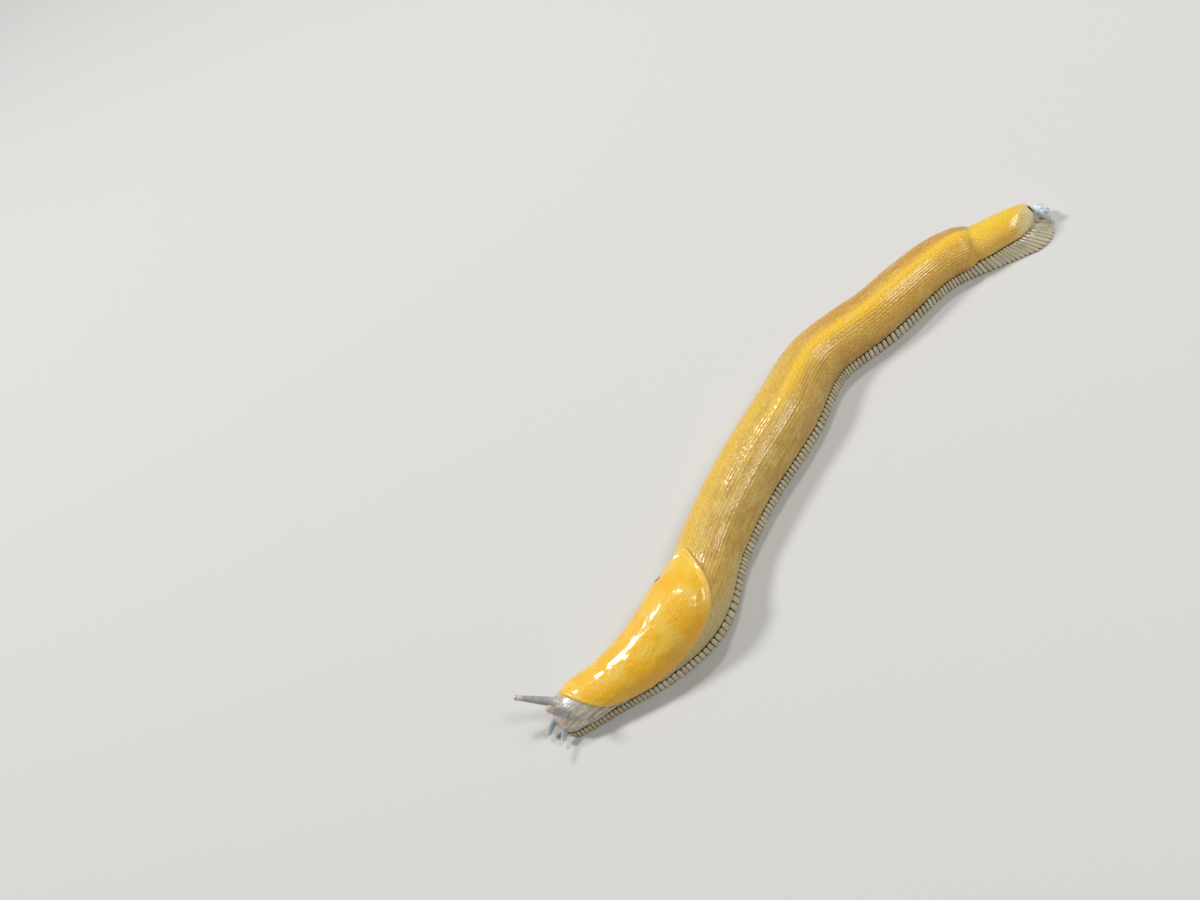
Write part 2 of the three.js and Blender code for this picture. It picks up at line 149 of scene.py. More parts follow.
def placeAt(at, left, height):
    # a point from its place along the slug, its offset to the slug's left and its height
    x, y, ax, ay = spineAt(at)
    return np.stack([x + ay * left, y - ax * left, height + 0 * at], -1)


def flankCurve(at):
    # one flank in section from the middle of the back down to the groove over the foot
    foot, height = footWidth(at), backHeight(at)
    low = fringeHeight(at) + body["gap"]
    waist = low + 0.25 * (height - low)
    lean = fringeLean(at)
    groove = foot - lean - body["gap"]
    widest = foot * body["bulge"] - max(0, lean - body["uprightLean"])
    angle = np.linspace(0, math.pi / 2, 120)
    power = 2 / body["roundness"]
    side = widest * np.sin(angle) ** power
    level = waist + (height - waist) * np.abs(np.cos(angle)) ** power
    down = np.linspace(0, 1, 13)[1:]
    side = np.concatenate([side, groove + (widest - groove) * np.sqrt(1 - down * down)])
    level = np.concatenate([level, waist - (waist - low) * down])
    run = np.concatenate([[0], np.cumsum(np.hypot(np.diff(side), np.diff(level)))])
    return side, level, run


flankPlaces = np.linspace(0, bodyLength, 520)
flankTable = [flankCurve(at) for at in flankPlaces]
flankShares = np.linspace(0, 1, 241)
sideTable = np.array([np.interp(flankShares * r[-1], r, s) for s, h, r in flankTable])
levelTable = np.array([np.interp(flankShares * r[-1], r, h) for s, h, r in flankTable])
flankRun = np.array([r[-1] for s, h, r in flankTable])


def flankLength(at):
    return np.interp(at, flankPlaces, flankRun)


def readTable(table, at, share):
    # reads a table of the flank between its places and shares
    x = np.clip(at / bodyLength, 0, 1) * (len(flankPlaces) - 1)
    y = np.clip(share, 0, 1) * (len(flankShares) - 1)
    i = np.minimum(x.astype(int), len(flankPlaces) - 2)
    j = np.minimum(y.astype(int), len(flankShares) - 2)
    a, b = x - i, y - j
    return ((1 - a) * (1 - b) * table[i, j] + a * (1 - b) * table[i + 1, j]
            + (1 - a) * b * table[i, j + 1] + a * b * table[i + 1, j + 1])


def backShare(at):
    return endShare(at, body["backEnd"], body["backRounding"])


def footShare(at):
    return endShare(at, bodyLength, body["footRounding"])


def lateness(at):
    # how far the turn of the tail's end has come
    return smoothstep(body["askewFrom"], body["backEnd"], at)


def askew(at, left):
    # the tail's end turned to the right
    late = lateness(at)
    return at - body["slant"] * late * left, left + body["sideways"] * late


def skinAt(at, across):
    # across runs from -1, the left groove, over the back at 0, to 1, the right groove
    at, across = np.broadcast_arrays(np.asarray(at, float), np.asarray(across, float))
    side = readTable(sideTable, at, np.abs(across))
    level = readTable(levelTable, at, np.abs(across))
    share = backShare(at)
    end = np.where(at < bodyLength / 2, body["noseHeight"], body["tailTipHeight"])
    reached, left = askew(at, -np.sign(across) * side * share)
    dip = np.where(lateness(at) > 0, fringeHeight(reached) - fringeHeight(at), 0)
    return placeAt(reached, left, end + (level + dip * across ** 2 - end) * share)


def skinNormal(at, across):
    alongway = skinAt(at + 0.15, across) - skinAt(at - 0.15, across)
    acrossway = skinAt(at, across + 0.015) - skinAt(at, across - 0.015)
    normal = np.cross(alongway, acrossway)
    return normal / np.maximum(np.linalg.norm(normal, axis=-1), 1e-9)[..., None]


# The CAD centres the slug by its box. Its middle length, drawn here, gives that shift.
middleLow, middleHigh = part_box("body_middle")
middleFrom, middleTo = 74.15, 111.85
middle = skinAt(*np.meshgrid(np.linspace(middleFrom, middleTo, 40), np.linspace(-1, 1, 81))).reshape(-1, 3)
shift = (np.array(middleLow + middleHigh) / mm - middle.min(0) - middle.max(0)) / 2
shift[2] = 0
print("shift", shift.round(3))

# Meshes

# the relief value holds the grain of the skin, and on the mantle the pale rim of painted highlight
attributeNames = ["along", "around", "row", "step", "mantle", "head", "foot", "feeler", "relief"]


def skinValues(shape, **given):
    # a value for each attribute of the skin, 0 where none is given
    return {key: given.get(key, 0) + np.zeros(shape) for key in attributeNames}


def putValues(mesh, values):
    for key, value in values.items():
        attribute = mesh.attributes.new(key, "FLOAT", "POINT")
        attribute.data.foreach_set("value", np.asarray(value, np.float32).ravel())


def movePoints(made, points):
    # sets every vertex of an object, in millimetres before the shift
    made.data.vertices.foreach_set("co", ((points + shift) * mm).ravel())
    made.data.update()


def meshObject(name, points, faces, values=None):
    # points in millimetres before the shift, and values by vertex for the materials
    mesh = bpy.data.meshes.new(name)
    mesh.from_pydata(((points + shift) * mm).tolist(), [], faces)
    mesh.update()
    putValues(mesh, values or {})
    mesh.shade_smooth()
    made = bpy.data.objects.new(name, mesh)
    scene.collection.objects.link(made)
    return made


def ringFaces(rings, around):
    # quads between closed rings, and a fan point over each end at the last two vertices
    faces = []
    for r in range(rings - 1):
        for i in range(around):
            a, b = r * around + i, r * around + (i + 1) % around
            faces.append((a, a + around, b + around, b))
    first, last = rings * around, rings * around + 1
    for i in range(around):
        j = (i + 1) % around
        faces.append((i, j, first))
        faces.append(((rings - 1) * around + j, (rings - 1) * around + i, last))
    return faces


def closedLoft(name, rings, values=None):
    # rings is an array of rings by points by three
    count, around = rings.shape[:2]
    points = np.concatenate([rings.reshape(-1, 3), rings[0].mean(0)[None], rings[-1].mean(0)[None]])
    if values:
        values = {k: np.concatenate([v.ravel(), [v[0].mean()], [v[-1].mean()]]) for k, v in values.items()}
    made = meshObject(name, points, ringFaces(count, around), values)
    turnOut(made)
    return made


def turnOut(made):
    # makes the faces of a closed mesh face outwards
    work = bmesh.new()
    work.from_mesh(made.data)
    if work.calc_volume(signed=True) < 0:
        bmesh.ops.reverse_faces(work, faces=work.faces)
    work.to_mesh(made.data)
    work.free()


def applyModifiers(made):
    evaluated = made.evaluated_get(bpy.context.evaluated_depsgraph_get())
    result = bpy.data.meshes.new_from_object(evaluated)
    made.modifiers.clear()
    made.data = result


def boolean(target, other, operation):
    modifier = target.modifiers.new("cut", "BOOLEAN")
    modifier.operation = operation
    modifier.solver = "MANIFOLD"
    modifier.object = other
    applyModifiers(target)
    bpy.data.objects.remove(other)


def pointsOf(made):
    points = np.empty(len(made.data.vertices) * 3)
    made.data.vertices.foreach_get("co", points)
    return points.reshape(-1, 3) / mm - shift


def valuesOf(made):
    values = {}
    for key in attributeNames:
        data = np.zeros(len(made.data.vertices), np.float32)
        if key in made.data.attributes:
            made.data.attributes[key].data.foreach_get("value", data)
        values[key] = data
    return values


def noise(x, y, seed):
    # smooth random hills about one unit wide, between -1 and 1
    table = np.random.RandomState(seed).rand(256, 256) * 2 - 1
    i, j = np.floor(x).astype(int), np.floor(y).astype(int)
    a, b = x - i, y - j
    a, b = a * a * (3 - 2 * a), b * b * (3 - 2 * b)
    i, j, nextI, nextJ = i % 256, j % 256, (i + 1) % 256, (j + 1) % 256
    return ((1 - a) * (1 - b) * table[i, j] + a * (1 - b) * table[nextI, j]
            + (1 - a) * b * table[i, nextJ] + a * b * table[nextI, nextJ])


def hills(at, around, layers):
    # soft hills on the skin, each layer with its height, length, width and seed
    return sum(height * noise(at / length, around / width, seed) for height, length, width, seed in layers)


def cells(x, y, seed):
    # distance from the edge between rounded grains about one unit wide: 0 in the grooves
    table = np.random.RandomState(seed).rand(2, 256, 256)
    i, j = np.floor(x).astype(int), np.floor(y).astype(int)
    near = np.full(x.shape, 9.0)
    second = np.full(x.shape, 9.0)
    for di in (-1, 0, 1):
        for dj in (-1, 0, 1):
            ci, cj = i + di, j + dj
            px = ci + 0.15 + 0.7 * table[0, ci % 256, cj % 256]
            py = cj + 0.15 + 0.7 * table[1, ci % 256, cj % 256]
            d = np.hypot(x - px, y - py)
            second = np.minimum(second, np.maximum(near, d))
            near = np.minimum(near, d)
    return np.clip(second - near, 0, 1)


def ringPlaces(end, rounding, spacing, rounds, margin):
    # where the rings stand along the slug, closer together at its rounded ends
    turns = np.linspace(0, math.pi / 2, rounds)[:-1]
    front = margin + body["headRounding"] * (1 - np.cos(turns))
    middle = np.arange(body["headRounding"], end - rounding, spacing)
    return np.concatenate([front, middle, end - margin - rounding * (1 - np.cos(turns[::-1]))])


# Skin of the back

back = {
    "ringSpacing": 0.52,
    "steps": 88,             # points down each flank
    "rows": 17.5,            # long rows of tubercles down each flank
    "tubercleLength": 2.0,
    "rowShift": 0.618,       # how far each row is offset from the last, in tubercles
    "furrowDepth": 0.05,
    "cutDepth": 0.05,
    "grain": 0.8,            # size of the grains on the head and neck
    "grainDepth": 0.02,
    "grainSeed": 3,
    "hills": [(0.16, 11, 7, 5), (0.08, 5, 3.5, 6)],  # height, length, width and seed of each layer
    "smooth": (186, 192),    # where the tail's smoother skin begins
    "neckFold": {"height": 0.24, "perMillimetre": 2.4, "slant": 0.4, "wander": 1.8, "starts": (3, 9),
                 "ends": (26, 40), "low": (0.45, 0.7)},
    "wrinkle": {"at": (66, 103, 118, 126, 150), "depth": 0.12, "width": 0.5, "slant": 0.06},
    "keel": {"rises": (84, 122), "side": -2.1, "straightens": (172, 184), "height": 0.4, "width": 1.7},
    "fold": {"at": 184.9, "swell": 0.2, "swellAhead": 2.6, "swellWidth": 2.4, "crease": 0.3,
             "creaseWidths": (0.55, 1.3)},
    "yellowFrom": (24, 40),
    "seed": 11,
}


def keelPlace(at):
    # how far round the back the keel runs, to the left until the tail straightens it
    keel = back["keel"]
    return keel["side"] * (1 - smoothstep(*keel["straightens"], at))


def tubercleRows(at, across):
    # smooth counts across the rows and along them, which both the shape and the colour use
    row = across * back["rows"] + 0.42 * noise(at / 9, across * 5 + 20, back["seed"])
    step = at / back["tubercleLength"] + 0.42 * noise(at / 2.2, row * 1.3 + 40, back["seed"] + 1)
    return row, step


def tubercles(row, step):
    # depth of the furrows between the rows, and of the cuts across them: 0 on the crests
    furrow = smoothstep(0.5, 1.0, np.abs(row - np.floor(row) - 0.5) * 2)
    shifted = step + np.floor(row) * back["rowShift"]
    cuts = smoothstep(0.6, 1.0, np.abs(shifted - np.floor(shifted) - 0.5) * 2)
    return furrow, cuts


def trunk():
    at = ringPlaces(body["backEnd"], body["backRounding"], back["ringSpacing"], 17, 0.015)[:, None]
    share = np.linspace(-1, 1, 2 * back["steps"] + 1)[None, :]
    points = skinAt(at, share)
    normals = skinNormal(at, np.clip(share, -0.98, 0.98))
    at, share = np.broadcast_arrays(at, share)
    around = share * flankLength(at)

    ends = backShare(at)
    yellow = smoothstep(*back["yellowFrom"], at)
    row, step = tubercleRows(at, share)
    furrow, cuts = tubercles(row, step)
    grain = cells(at / back["grain"], around / back["grain"], back["grainSeed"])
    grain = 1 - smoothstep(0, 0.35, grain)
    tail = smoothstep(*back["smooth"], at)
    height = back["furrowDepth"] * (1 - 0.3 * tail) * furrow + back["cutDepth"] * (1 - tail) * cuts
    height = -yellow * height
    height -= (1 - yellow) * back["grainDepth"] * grain
    height += hills(at, around, back["hills"])

    # long folds run back from the head along the neck
    neckFold = back["neckFold"]
    neck = smoothstep(*neckFold["starts"], at) * (1 - smoothstep(*neckFold["ends"], at))
    neck = neck * smoothstep(*neckFold["low"], np.abs(share))
    wander = neckFold["wander"] * noise(at / 5, around / 4, 8)
    ripple = np.sin(around * neckFold["perMillimetre"] + wander - neckFold["slant"] * at)
    height += neck * neckFold["height"] * ripple

    keel = back["keel"]
    fromKeel = np.abs(around - keelPlace(at)) / keel["width"]
    height += keel["height"] * smoothstep(*keel["rises"], at) * np.exp(-fromKeel ** 2)

    # the body ends in a soft round fold over the root of the tail
    fold = back["fold"]
    edge = at - fold["at"] - 0.5 * np.sin(around / 4) - 0.02 * around
    height += fold["swell"] * np.exp(-((edge + fold["swellAhead"]) / fold["swellWidth"]) ** 2)
    height -= fold["crease"] * np.exp(-(edge / np.where(edge < 0, *fold["creaseWidths"])) ** 2)

    # shallow wrinkles on the flanks
    wrinkle = back["wrinkle"]
    for place in wrinkle["at"]:
        away = (at - place - wrinkle["slant"] * around) / wrinkle["width"]
        height -= wrinkle["depth"] * np.exp(-away ** 2) * smoothstep(0.3, 0.75, np.abs(share))
    height *= np.minimum(1, ends * 1.3)
    points = points + normals * height[..., None]

    # the underside closes inside the foot
    reach = 0.55 * footWidth(at[:, -1]) * ends[:, -1]
    low = placeAt(at[:, -1], -reach, 1.2 + 0 * at[:, -1])
    high = placeAt(at[:, 0], reach, 1.2 + 0 * at[:, 0])
    rings = np.concatenate([points, low[:, None], high[:, None]], 1)
    pad = np.zeros((len(at), 2))

    def wide(a, end=None):
        return np.concatenate([a, pad + (a[:, -1:] if end is None else end)], 1)

    return closedLoft("skin", rings, skinValues(
        rings.shape[:2], along=wide(at), around=wide(around), row=wide(row), step=wide(step),
        relief=wide(grain, 0.0), head=wide(1 - yellow)))


# Mantle

mantle = {
    "front": 5.4,
    "shoulder": 23.0,
    "corner": 49.5,
    "rear": 61.6,
    "reach": 0.88,           # share of the flank that it covers, and what this loses each millimetre
    "taper": 0.0105,
    "taperFrom": 25.0,
    "frontPower": 1.6,
    "frontRoundness": 0.8,
    "rearPower": 1.4,
    "frontShift": 0.28,      # how far its ends stand to the right, as shares of the flank
    "frontShiftTo": 16.0,
    "rearShift": 0.2,
    "rearShiftFrom": 38.0,
    "raise": 0.55,
    "lip": 0.4,              # extra height along the rear margin
    "frontLip": 0.12,
    "lipPlace": (0.8, 0.75),  # its distance from the edge and its width
    "dip": 0.12,             # the hollow behind the lip
    "dipPlace": (2.6, 1.2),
    "lipFrom": (46, 54),
    "frontLipTo": (8, 18),
    "rim": 0.8,              # width of the rounded edge
    # width of the pale rim painted along the margin as a highlight
    "rimHighlightWidth": 1.3,
    "centre": 32.0,          # where its spokes meet
    "softening": 60,         # passes that round the corners of the margin
    "hills": [(0.2, 9, 6, 21), (0.09, 3.0, 2.6, 22), (0.05, 1.3, 0.9, 23)],
    "underside": [(0.006, -0.12), (0.03, -0.35), (0.09, -0.7)],  # how far in and down it turns
    "rings": 60,
    "spokes": 420,
}


def mantleAcross(at):
    # the middle of the mantle and half its width, as shares of the flank
    forward = np.clip((mantle["shoulder"] - at) / (mantle["shoulder"] - mantle["front"]), 0, 1)
    rearward = np.clip((at - mantle["corner"]) / (mantle["rear"] - mantle["corner"]), 0, 1)
    half = mantle["reach"] - mantle["taper"] * np.maximum(0, at - mantle["taperFrom"])
    half = half * (1 - forward ** mantle["frontPower"]) ** mantle["frontRoundness"]
    half = half * (1 - rearward ** mantle["rearPower"])
    middle = mantle["frontShift"] * (1 - smoothstep(mantle["front"], mantle["frontShiftTo"], at))
    middle = middle + mantle["rearShift"] * smoothstep(mantle["rearShiftFrom"], mantle["rear"], at)
    return middle, half


def mantleOutline(count):
    # evenly spaced points round the margin, as place along the slug and share across
    turn = np.linspace(0, math.pi, 3001)
    at = mantle["front"] + (mantle["rear"] - mantle["front"]) * (1 - np.cos(turn)) / 2
    middle, half = mantleAcross(at)
    across = np.concatenate([middle - half, (middle + half)[::-1][1:-1]])
    at = np.concatenate([at, at[::-1][1:-1]])
    step = np.hypot(np.diff(at, append=at[0]), np.diff(across * flankLength(at), append=across[0]))
    run = np.concatenate([[0], np.cumsum(step)])
    wanted = np.linspace(0, run[-1], count, endpoint=False)
    margin = np.array([np.interp(wanted, run, np.append(values, values[0])) for values in (at, across)])
    for turn in range(mantle["softening"]):
        margin = 0.5 * margin + 0.25 * (np.roll(margin, 1, 1) + np.roll(margin, -1, 1))
    return margin


def mantlePad():
    edgeAt, edgeShare = mantleOutline(mantle["spokes"])
    centreAt = mantle["centre"]
    # rings close in on the margin, then go round its rim and back underneath
    inward = 1 - np.linspace(0.02, 1, mantle["rings"]) ** 0.62
    inward = np.sort(np.unique(np.concatenate([inward, [0.0]])))[::-1]
    rings, alongs, arounds, rimHighlights = [], [], [], []
    spokeLength = np.hypot(edgeAt - centreAt, edgeShare * flankLength(edgeAt))
    rearness = smoothstep(*mantle["lipFrom"], edgeAt)
    frontness = 1 - smoothstep(*mantle["frontLipTo"], edgeAt)

    def bump(fromEdge, place):
        return np.exp(-((fromEdge - place[0]) / place[1]) ** 2)

    def addRing(inside, height):
        at = edgeAt + (centreAt - edgeAt) * inside
        share = edgeShare * (1 - inside)
        rings.append(skinAt(at, share) + skinNormal(at, np.clip(share, -0.98, 0.98)) * height[:, None])
        alongs.append(at)
        arounds.append(share * flankLength(at))
        # painted highlight: a pale rim along the margin, strongest along the rear
        rimHighlights.append(bump(inside * spokeLength, (0, mantle["rimHighlightWidth"])) * (0.35 + 0.65 * rearness))

    for inside in inward:
        at = edgeAt + (centreAt - edgeAt) * inside
        around = edgeShare * (1 - inside) * flankLength(at)
        fromEdge = inside * spokeLength
        soft = np.clip(fromEdge / mantle["rim"], 0, 1)
        rounded = np.sqrt(np.clip(1 - (1 - soft) ** 2, 0, 1))
        lip = mantle["lip"] * rearness + mantle["frontLip"] * frontness
        lip = lip * bump(fromEdge, mantle["lipPlace"])
        lip = lip - mantle["dip"] * rearness * bump(fromEdge, mantle["dipPlace"])
        swell = hills(at, around, mantle["hills"])
        addRing(inside, (mantle["raise"] + lip + swell * np.clip(fromEdge / 3, 0, 1)) * rounded)
    for inside, height in mantle["underside"]:
        addRing(inside, height + 0 * edgeAt)
    return closedLoft("mantlePad", np.array(rings), skinValues(
        (len(rings), len(edgeAt)), along=np.array(alongs), around=np.array(arounds),
        relief=np.array(rimHighlights), mantle=1))


# Foot under the fringe

footSkin = {"ringSpacing": 0.7, "inset": 0.42}


def footSolid():
    at = ringPlaces(bodyLength, body["footRounding"], footSkin["ringSpacing"], 13, 0.02)
    width, high, lean = footWidth(at), fringeHeight(at), fringeLean(at)
    narrow = np.maximum(footShare(at), 0.02)
    inset = footSkin["inset"]
    # half the section, from the middle of the sole round under the fringe to the middle of the top
    half = [
        (0 * at, 0 * at), (0.5 * width, 0 * at), (width - 1.0, 0 * at), (width - 0.35, 0.12 + 0 * at),
        (width - 0.1 - inset, 0.5 + 0 * at), (width - lean * 0.35 - inset, high * 0.55),
        (width - lean * 0.75 - inset, high * 0.84), (width - lean - inset, high - 0.02),
        (width - lean - 0.9, high + 0.05), (0.6 * (width - lean), high - 0.1), (0 * at, high - 0.2)]
    turn = body["sideways"] * lateness(at) / high
    ring = [placeAt(at, x * narrow + turn * z, z) for x, z in half]
    ring += [placeAt(at, turn * z - x * narrow, z) for x, z in half[-2:0:-1]]
    rings = np.array(ring).transpose(1, 0, 2)
    lateral = np.array([x for x, z in half] + [-x for x, z in half[-2:0:-1]]).T
    along = np.repeat(at[:, None], rings.shape[1], 1)
    return closedLoft("footSolid", rings, skinValues(rings.shape[:2], along=along, around=lateral, foot=1))


# Feelers and the eyes on their tips

feelers = [
    {"name": "upperLeft", "root": (-94.6, -7.9, 6.6), "tip": (-97.2, -7.7, 15.6), "thick": (1.5, 0.8),
     "eye": 1.0, "bend": (-0.35, -0.1, 0)},
    {"name": "upperRight", "root": (-95.2, -3.3, 6.4), "tip": (-102.9, 4.6, 12.0), "thick": (1.6, 0.6),
     "eye": 0.78, "bend": (0, 0, 0.25)},
    {"name": "lowerLeft", "root": (-97.2, -7.4, 4.4), "tip": (-101.4, -9.8, 2.0), "thick": (1.1, 0.75),
     "eye": 0, "bend": (0, 0, 0.2)},
    {"name": "lowerRight", "root": (-98.2, -4.4, 4.2), "tip": (-103.6, -4.9, 1.9), "thick": (1.05, 0.7),
     "eye": 0, "bend": (0, 0, 0.2)},
]


stalkShape = {
    "sunk": 1.6,             # how deep its root stands in the head
    "flare": 0.85,           # how much wider it is at the root
    "flareFrom": 1.2,
    "flareLength": 0.95,
    "taper": 0.8,
    "ringing": 0.03,         # height of the fine rings, and how close they stand
    "ringsCloseness": 9,
    "waviness": 0.04,
    "seed": 41,
}


def feelerAxes(feeler, around):
    # the root and tip of a feeler, the way it points, and the angles and points of a circle round it
    root, tip = np.array(feeler["root"]), np.array(feeler["tip"])
    axis = (tip - root) / np.linalg.norm(tip - root)
    side = np.cross(axis, (0.2, 0.1, 1.0) if abs(axis[2]) < 0.9 else (1.0, 0, 0))
    side /= np.linalg.norm(side)
    turn = np.linspace(0, 2 * math.pi, around, endpoint=False)
    circle = np.cos(turn)[:, None] * side + np.sin(turn)[:, None] * np.cross(axis, side)
    return root, tip, axis, turn, circle


def feelerSolid(feeler, around=28, steps=46):
    root, tip, axis, turn, circle = feelerAxes(feeler, around)
    reach = np.linalg.norm(tip - root)
    bulb = feeler["eye"] or feeler["thick"][1] * 1.12
    rings, feelerValue, reliefValue = [], [], []
    end = reach - (bulb * 1.25 if feeler["eye"] else 0.03)
    cap = 1.4 * bulb
    places = np.concatenate([np.linspace(-stalkShape["sunk"], end - cap, steps),
                             end - cap * np.cos(np.linspace(0, math.pi / 2, 16)[1:])])
    for length in places:
        t = np.clip(length / reach, 0, 1)
        thick = feeler["thick"][0] + (feeler["thick"][1] - feeler["thick"][0]) * t ** stalkShape["taper"]
        fromFlare = max(length + stalkShape["flareFrom"], 0)
        thick *= 1 + stalkShape["flare"] * math.exp(-fromFlare / stalkShape["flareLength"])
        if not feeler["eye"]:
            # a lower feeler ends in a round tip of its own
            fromTip = (reach - bulb) - length
            ball = math.sqrt(max(bulb ** 2 - fromTip ** 2, 0)) if abs(fromTip) < bulb else 0
            thick = max(ball, thick if fromTip > 0 else 0.02)
        ringing = stalkShape["ringing"] * math.sin(length * stalkShape["ringsCloseness"]) * (1 - t)
        wave = noise(turn * 2 + length * 0.8, np.full(around, length * 2.2), stalkShape["seed"])
        wave = stalkShape["waviness"] * wave
        radius = thick * (1 + ringing + wave)
        middle = root + axis * length + np.array(feeler["bend"]) * math.sin(math.pi * t)
        rings.append(middle + radius[:, None] * circle)
        feelerValue.append(np.full(around, 0.25 + 0.75 * t))
        reliefValue.append(np.clip(0.5 - wave * 10, 0, 1))
    return closedLoft(feeler["name"], np.array(rings), skinValues(
        (len(rings), around), along=1, head=1, feeler=np.array(feelerValue), relief=np.array(reliefValue)))


def eyeBulb(feeler, around=32, steps=22):
    # a slightly long bead on the stalk's end, with the eye spot near its tip
    root, tip, axis, turn, circle = feelerAxes(feeler, around)
    size = feeler["eye"]
    rings, spot = [], []
    for angle in np.linspace(0.02, math.pi - 0.02, steps):
        longer = 1.0 if angle < math.pi / 2 else 1.35
        middle = tip - axis * size + axis * size * math.cos(angle) * longer
        rings.append(middle + size * math.sin(angle) * circle)
        spot.append(np.full(around, 1 - angle / math.pi))
    return closedLoft("eye_" + feeler["name"], np.array(rings), {"spot": np.array(spot)})


# One skin

def ellipsoid(name, centre, radii, heading, segments=40, **given):
    turn = np.linspace(0, 2 * math.pi, segments, endpoint=False)
    cosine, sine = math.cos(heading), math.sin(heading)
    rings = []
    for angle in np.linspace(0.03, math.pi - 0.03, segments // 2):
        x = radii[0] * math.sin(angle) * np.cos(turn)
        y = radii[1] * math.sin(angle) * np.sin(turn)
        z = np.full(segments, radii[2] * math.cos(angle))
        rings.append(np.stack([centre[0] + cosine * x - sine * y, centre[1] + sine * x + cosine * y,
                               centre[2] + z], -1))
    values = skinValues((len(rings), segments), **given) if given else None
    return closedLoft(name, np.array(rings), values)


face = {
    "lipSideways": 1.35, "lipHeight": 3.1, "lipRadius": 1.25, "lipForward": 0.35,
    "mouthHeight": 3.3, "mouthWidth": 0.9, "mouthLength": 2.4, "mouthDepth": 1.3,
}
# the breathing pore on the mantle's right and the pore over the tail's end
pore = {"at": 48.3, "across": 0.44, "radius": 1.0, "depth": 0.9}
tailPore = {"at": 201.4, "across": 0.42, "length": 1.3, "width": 1.0, "depth": 1.3}


def openings(front, ahead):
    # the middle, radii and heading of the mouth, the breathing pore and the tail's pore
    mouth = front - ahead * 0.2
    mouth[2] = face["mouthHeight"]
    poreAt, poreAcross = np.array(pore["at"]), np.array(pore["across"])
    breathing = skinAt(poreAt, poreAcross) + skinNormal(poreAt, poreAcross) * mantle["raise"]
    caudal = skinAt(np.array(tailPore["at"]), np.array(tailPore["across"]))
    return [
        (mouth, (face["mouthDepth"], face["mouthWidth"] / 2, face["mouthLength"] / 2), headingAt(0)),
        (breathing, (pore["radius"] * 1.2, pore["depth"], pore["radius"]), headingAt(pore["at"])),
        (caudal, (tailPore["length"], tailPore["width"], tailPore["depth"]), headingAt(tailPore["at"]))]


def insideOpenings(points, hollows):
    # how near each point is to the wall of an opening, up to 1
    inside = np.zeros(len(points))
    for centre, radii, turn in hollows:
        away = points - centre
        forward = away[:, 0] * math.cos(turn) + away[:, 1] * math.sin(turn)
        aside = away[:, 1] * math.cos(turn) - away[:, 0] * math.sin(turn)
        distance = np.linalg.norm(np.stack([forward, aside, away[:, 2]], -1) / radii, axis=1)
        inside = np.maximum(inside, 1 - smoothstep(1.02, 1.22, distance))
    return inside


def oneSkin():
    skin = trunk()
    print("trunk", len(skin.data.polygons))
    parts = [footSolid(), mantlePad()] + [feelerSolid(f) for f in feelers]
    front = placeAt(np.array(0.0), 0.0, 0.0)
    heading = headingAt(0)
    ahead = np.array([-math.cos(heading), -math.sin(heading), 0])
    leftwards = np.array([math.sin(heading), -math.cos(heading), 0])
    radius = face["lipRadius"]
    for side in (-1, 1):
        centre = front + ahead * (face["lipForward"] - radius) + leftwards * side * face["lipSideways"]
        centre[2] = face["lipHeight"]
        radii = (radius, radius, radius * 0.85)
        parts.append(ellipsoid("lip", centre, radii, heading, 30, along=1, head=1))
    sources = [skin] + parts
    places = np.concatenate([pointsOf(s) for s in sources])
    values = {k: np.concatenate([valuesOf(s)[k] for s in sources]) for k in attributeNames}
    for part in parts:
        boolean(skin, part, "UNION")
    print("joined", len(skin.data.polygons))
    hollows = openings(front, ahead)
    for centre, radii, turn in hollows:
        boolean(skin, ellipsoid("hollow", centre, radii, turn), "DIFFERENCE")

    # the values for the materials come from the nearest vertex of the shapes that were joined
    tree = kdtree.KDTree(len(places))
    for i, p in enumerate(places):
        tree.insert(p, i)
    tree.balance()
    points = pointsOf(skin)
    nearest = np.array([tree.find(p)[1] for p in points])
    for key in attributeNames:
        if key in skin.data.attributes:
            skin.data.attributes.remove(skin.data.attributes[key])
    putValues(skin.data, {key: values[key][nearest] for key in attributeNames})
    # the mask of painted shade inside the openings
    putValues(skin.data, {"hollow": insideOpenings(points, hollows)})
    softenNear(skin, [f["root"] for f in feelers], 3.4)
    skin.data.shade_smooth()
    print("skin triangles", sum(len(p.vertices) - 2 for p in skin.data.polygons))
    return skin


def softenNear(made, centres, radius, repeats=14):
    # rounds the creases where the feelers leave the head
    points = pointsOf(made)
    weight = np.zeros(len(points))
    for centre in centres:
        distance = np.linalg.norm(points - np.array(centre), axis=1)
        weight = np.maximum(weight, np.clip(1.25 - distance / radius, 0, 1) ** 0.5)
    edges = np.empty(len(made.data.edges) * 2, int)
    made.data.edges.foreach_get("vertices", edges)
    edges = edges.reshape(-1, 2)
    edges = edges[(weight[edges] > 0).any(1)]
    for turn in range(repeats):
        total = np.zeros_like(points)
        count = np.zeros(len(points))
        np.add.at(total, edges[:, 0], points[edges[:, 1]])
        np.add.at(total, edges[:, 1], points[edges[:, 0]])
        np.add.at(count, edges[:, 0], 1)
        np.add.at(count, edges[:, 1], 1)
        mean = total / np.maximum(count, 1)[:, None]
        moved = weight > 0
        factor = (0.55 * weight * np.clip(weight * 2, 0, 1))[moved][:, None]
        points[moved] += (mean[moved] - points[moved]) * factor
    movePoints(made, points)


# Ribs of the fringe

fringe = {
    "pitchFront": 1.15,
    "frontTo": (10, 60),     # where the front's pitch gives way to the middle's
    "pitchMiddle": 1.4,
    "pitchTail": 1.35,
    "tailFrom": (150, 185),
    "fill": 0.93,            # the share of each pitch that the rib takes up
    "thickness": 0.4,
    "variation": 0.06,
    "slantFrom": 165.0,      # the ribs' tops stand further forward from here to the end of the tail
    "slantPower": 1.5,
    "lowInset": 0.12,        # how far the ribs' lower ends stand in from the edge of the foot
    "topLean": 0.94,         # the share of the fringe's lean that their tops take
    "topLift": 0.16,
    "lowest": 0.03,
    "seed": 4,
}


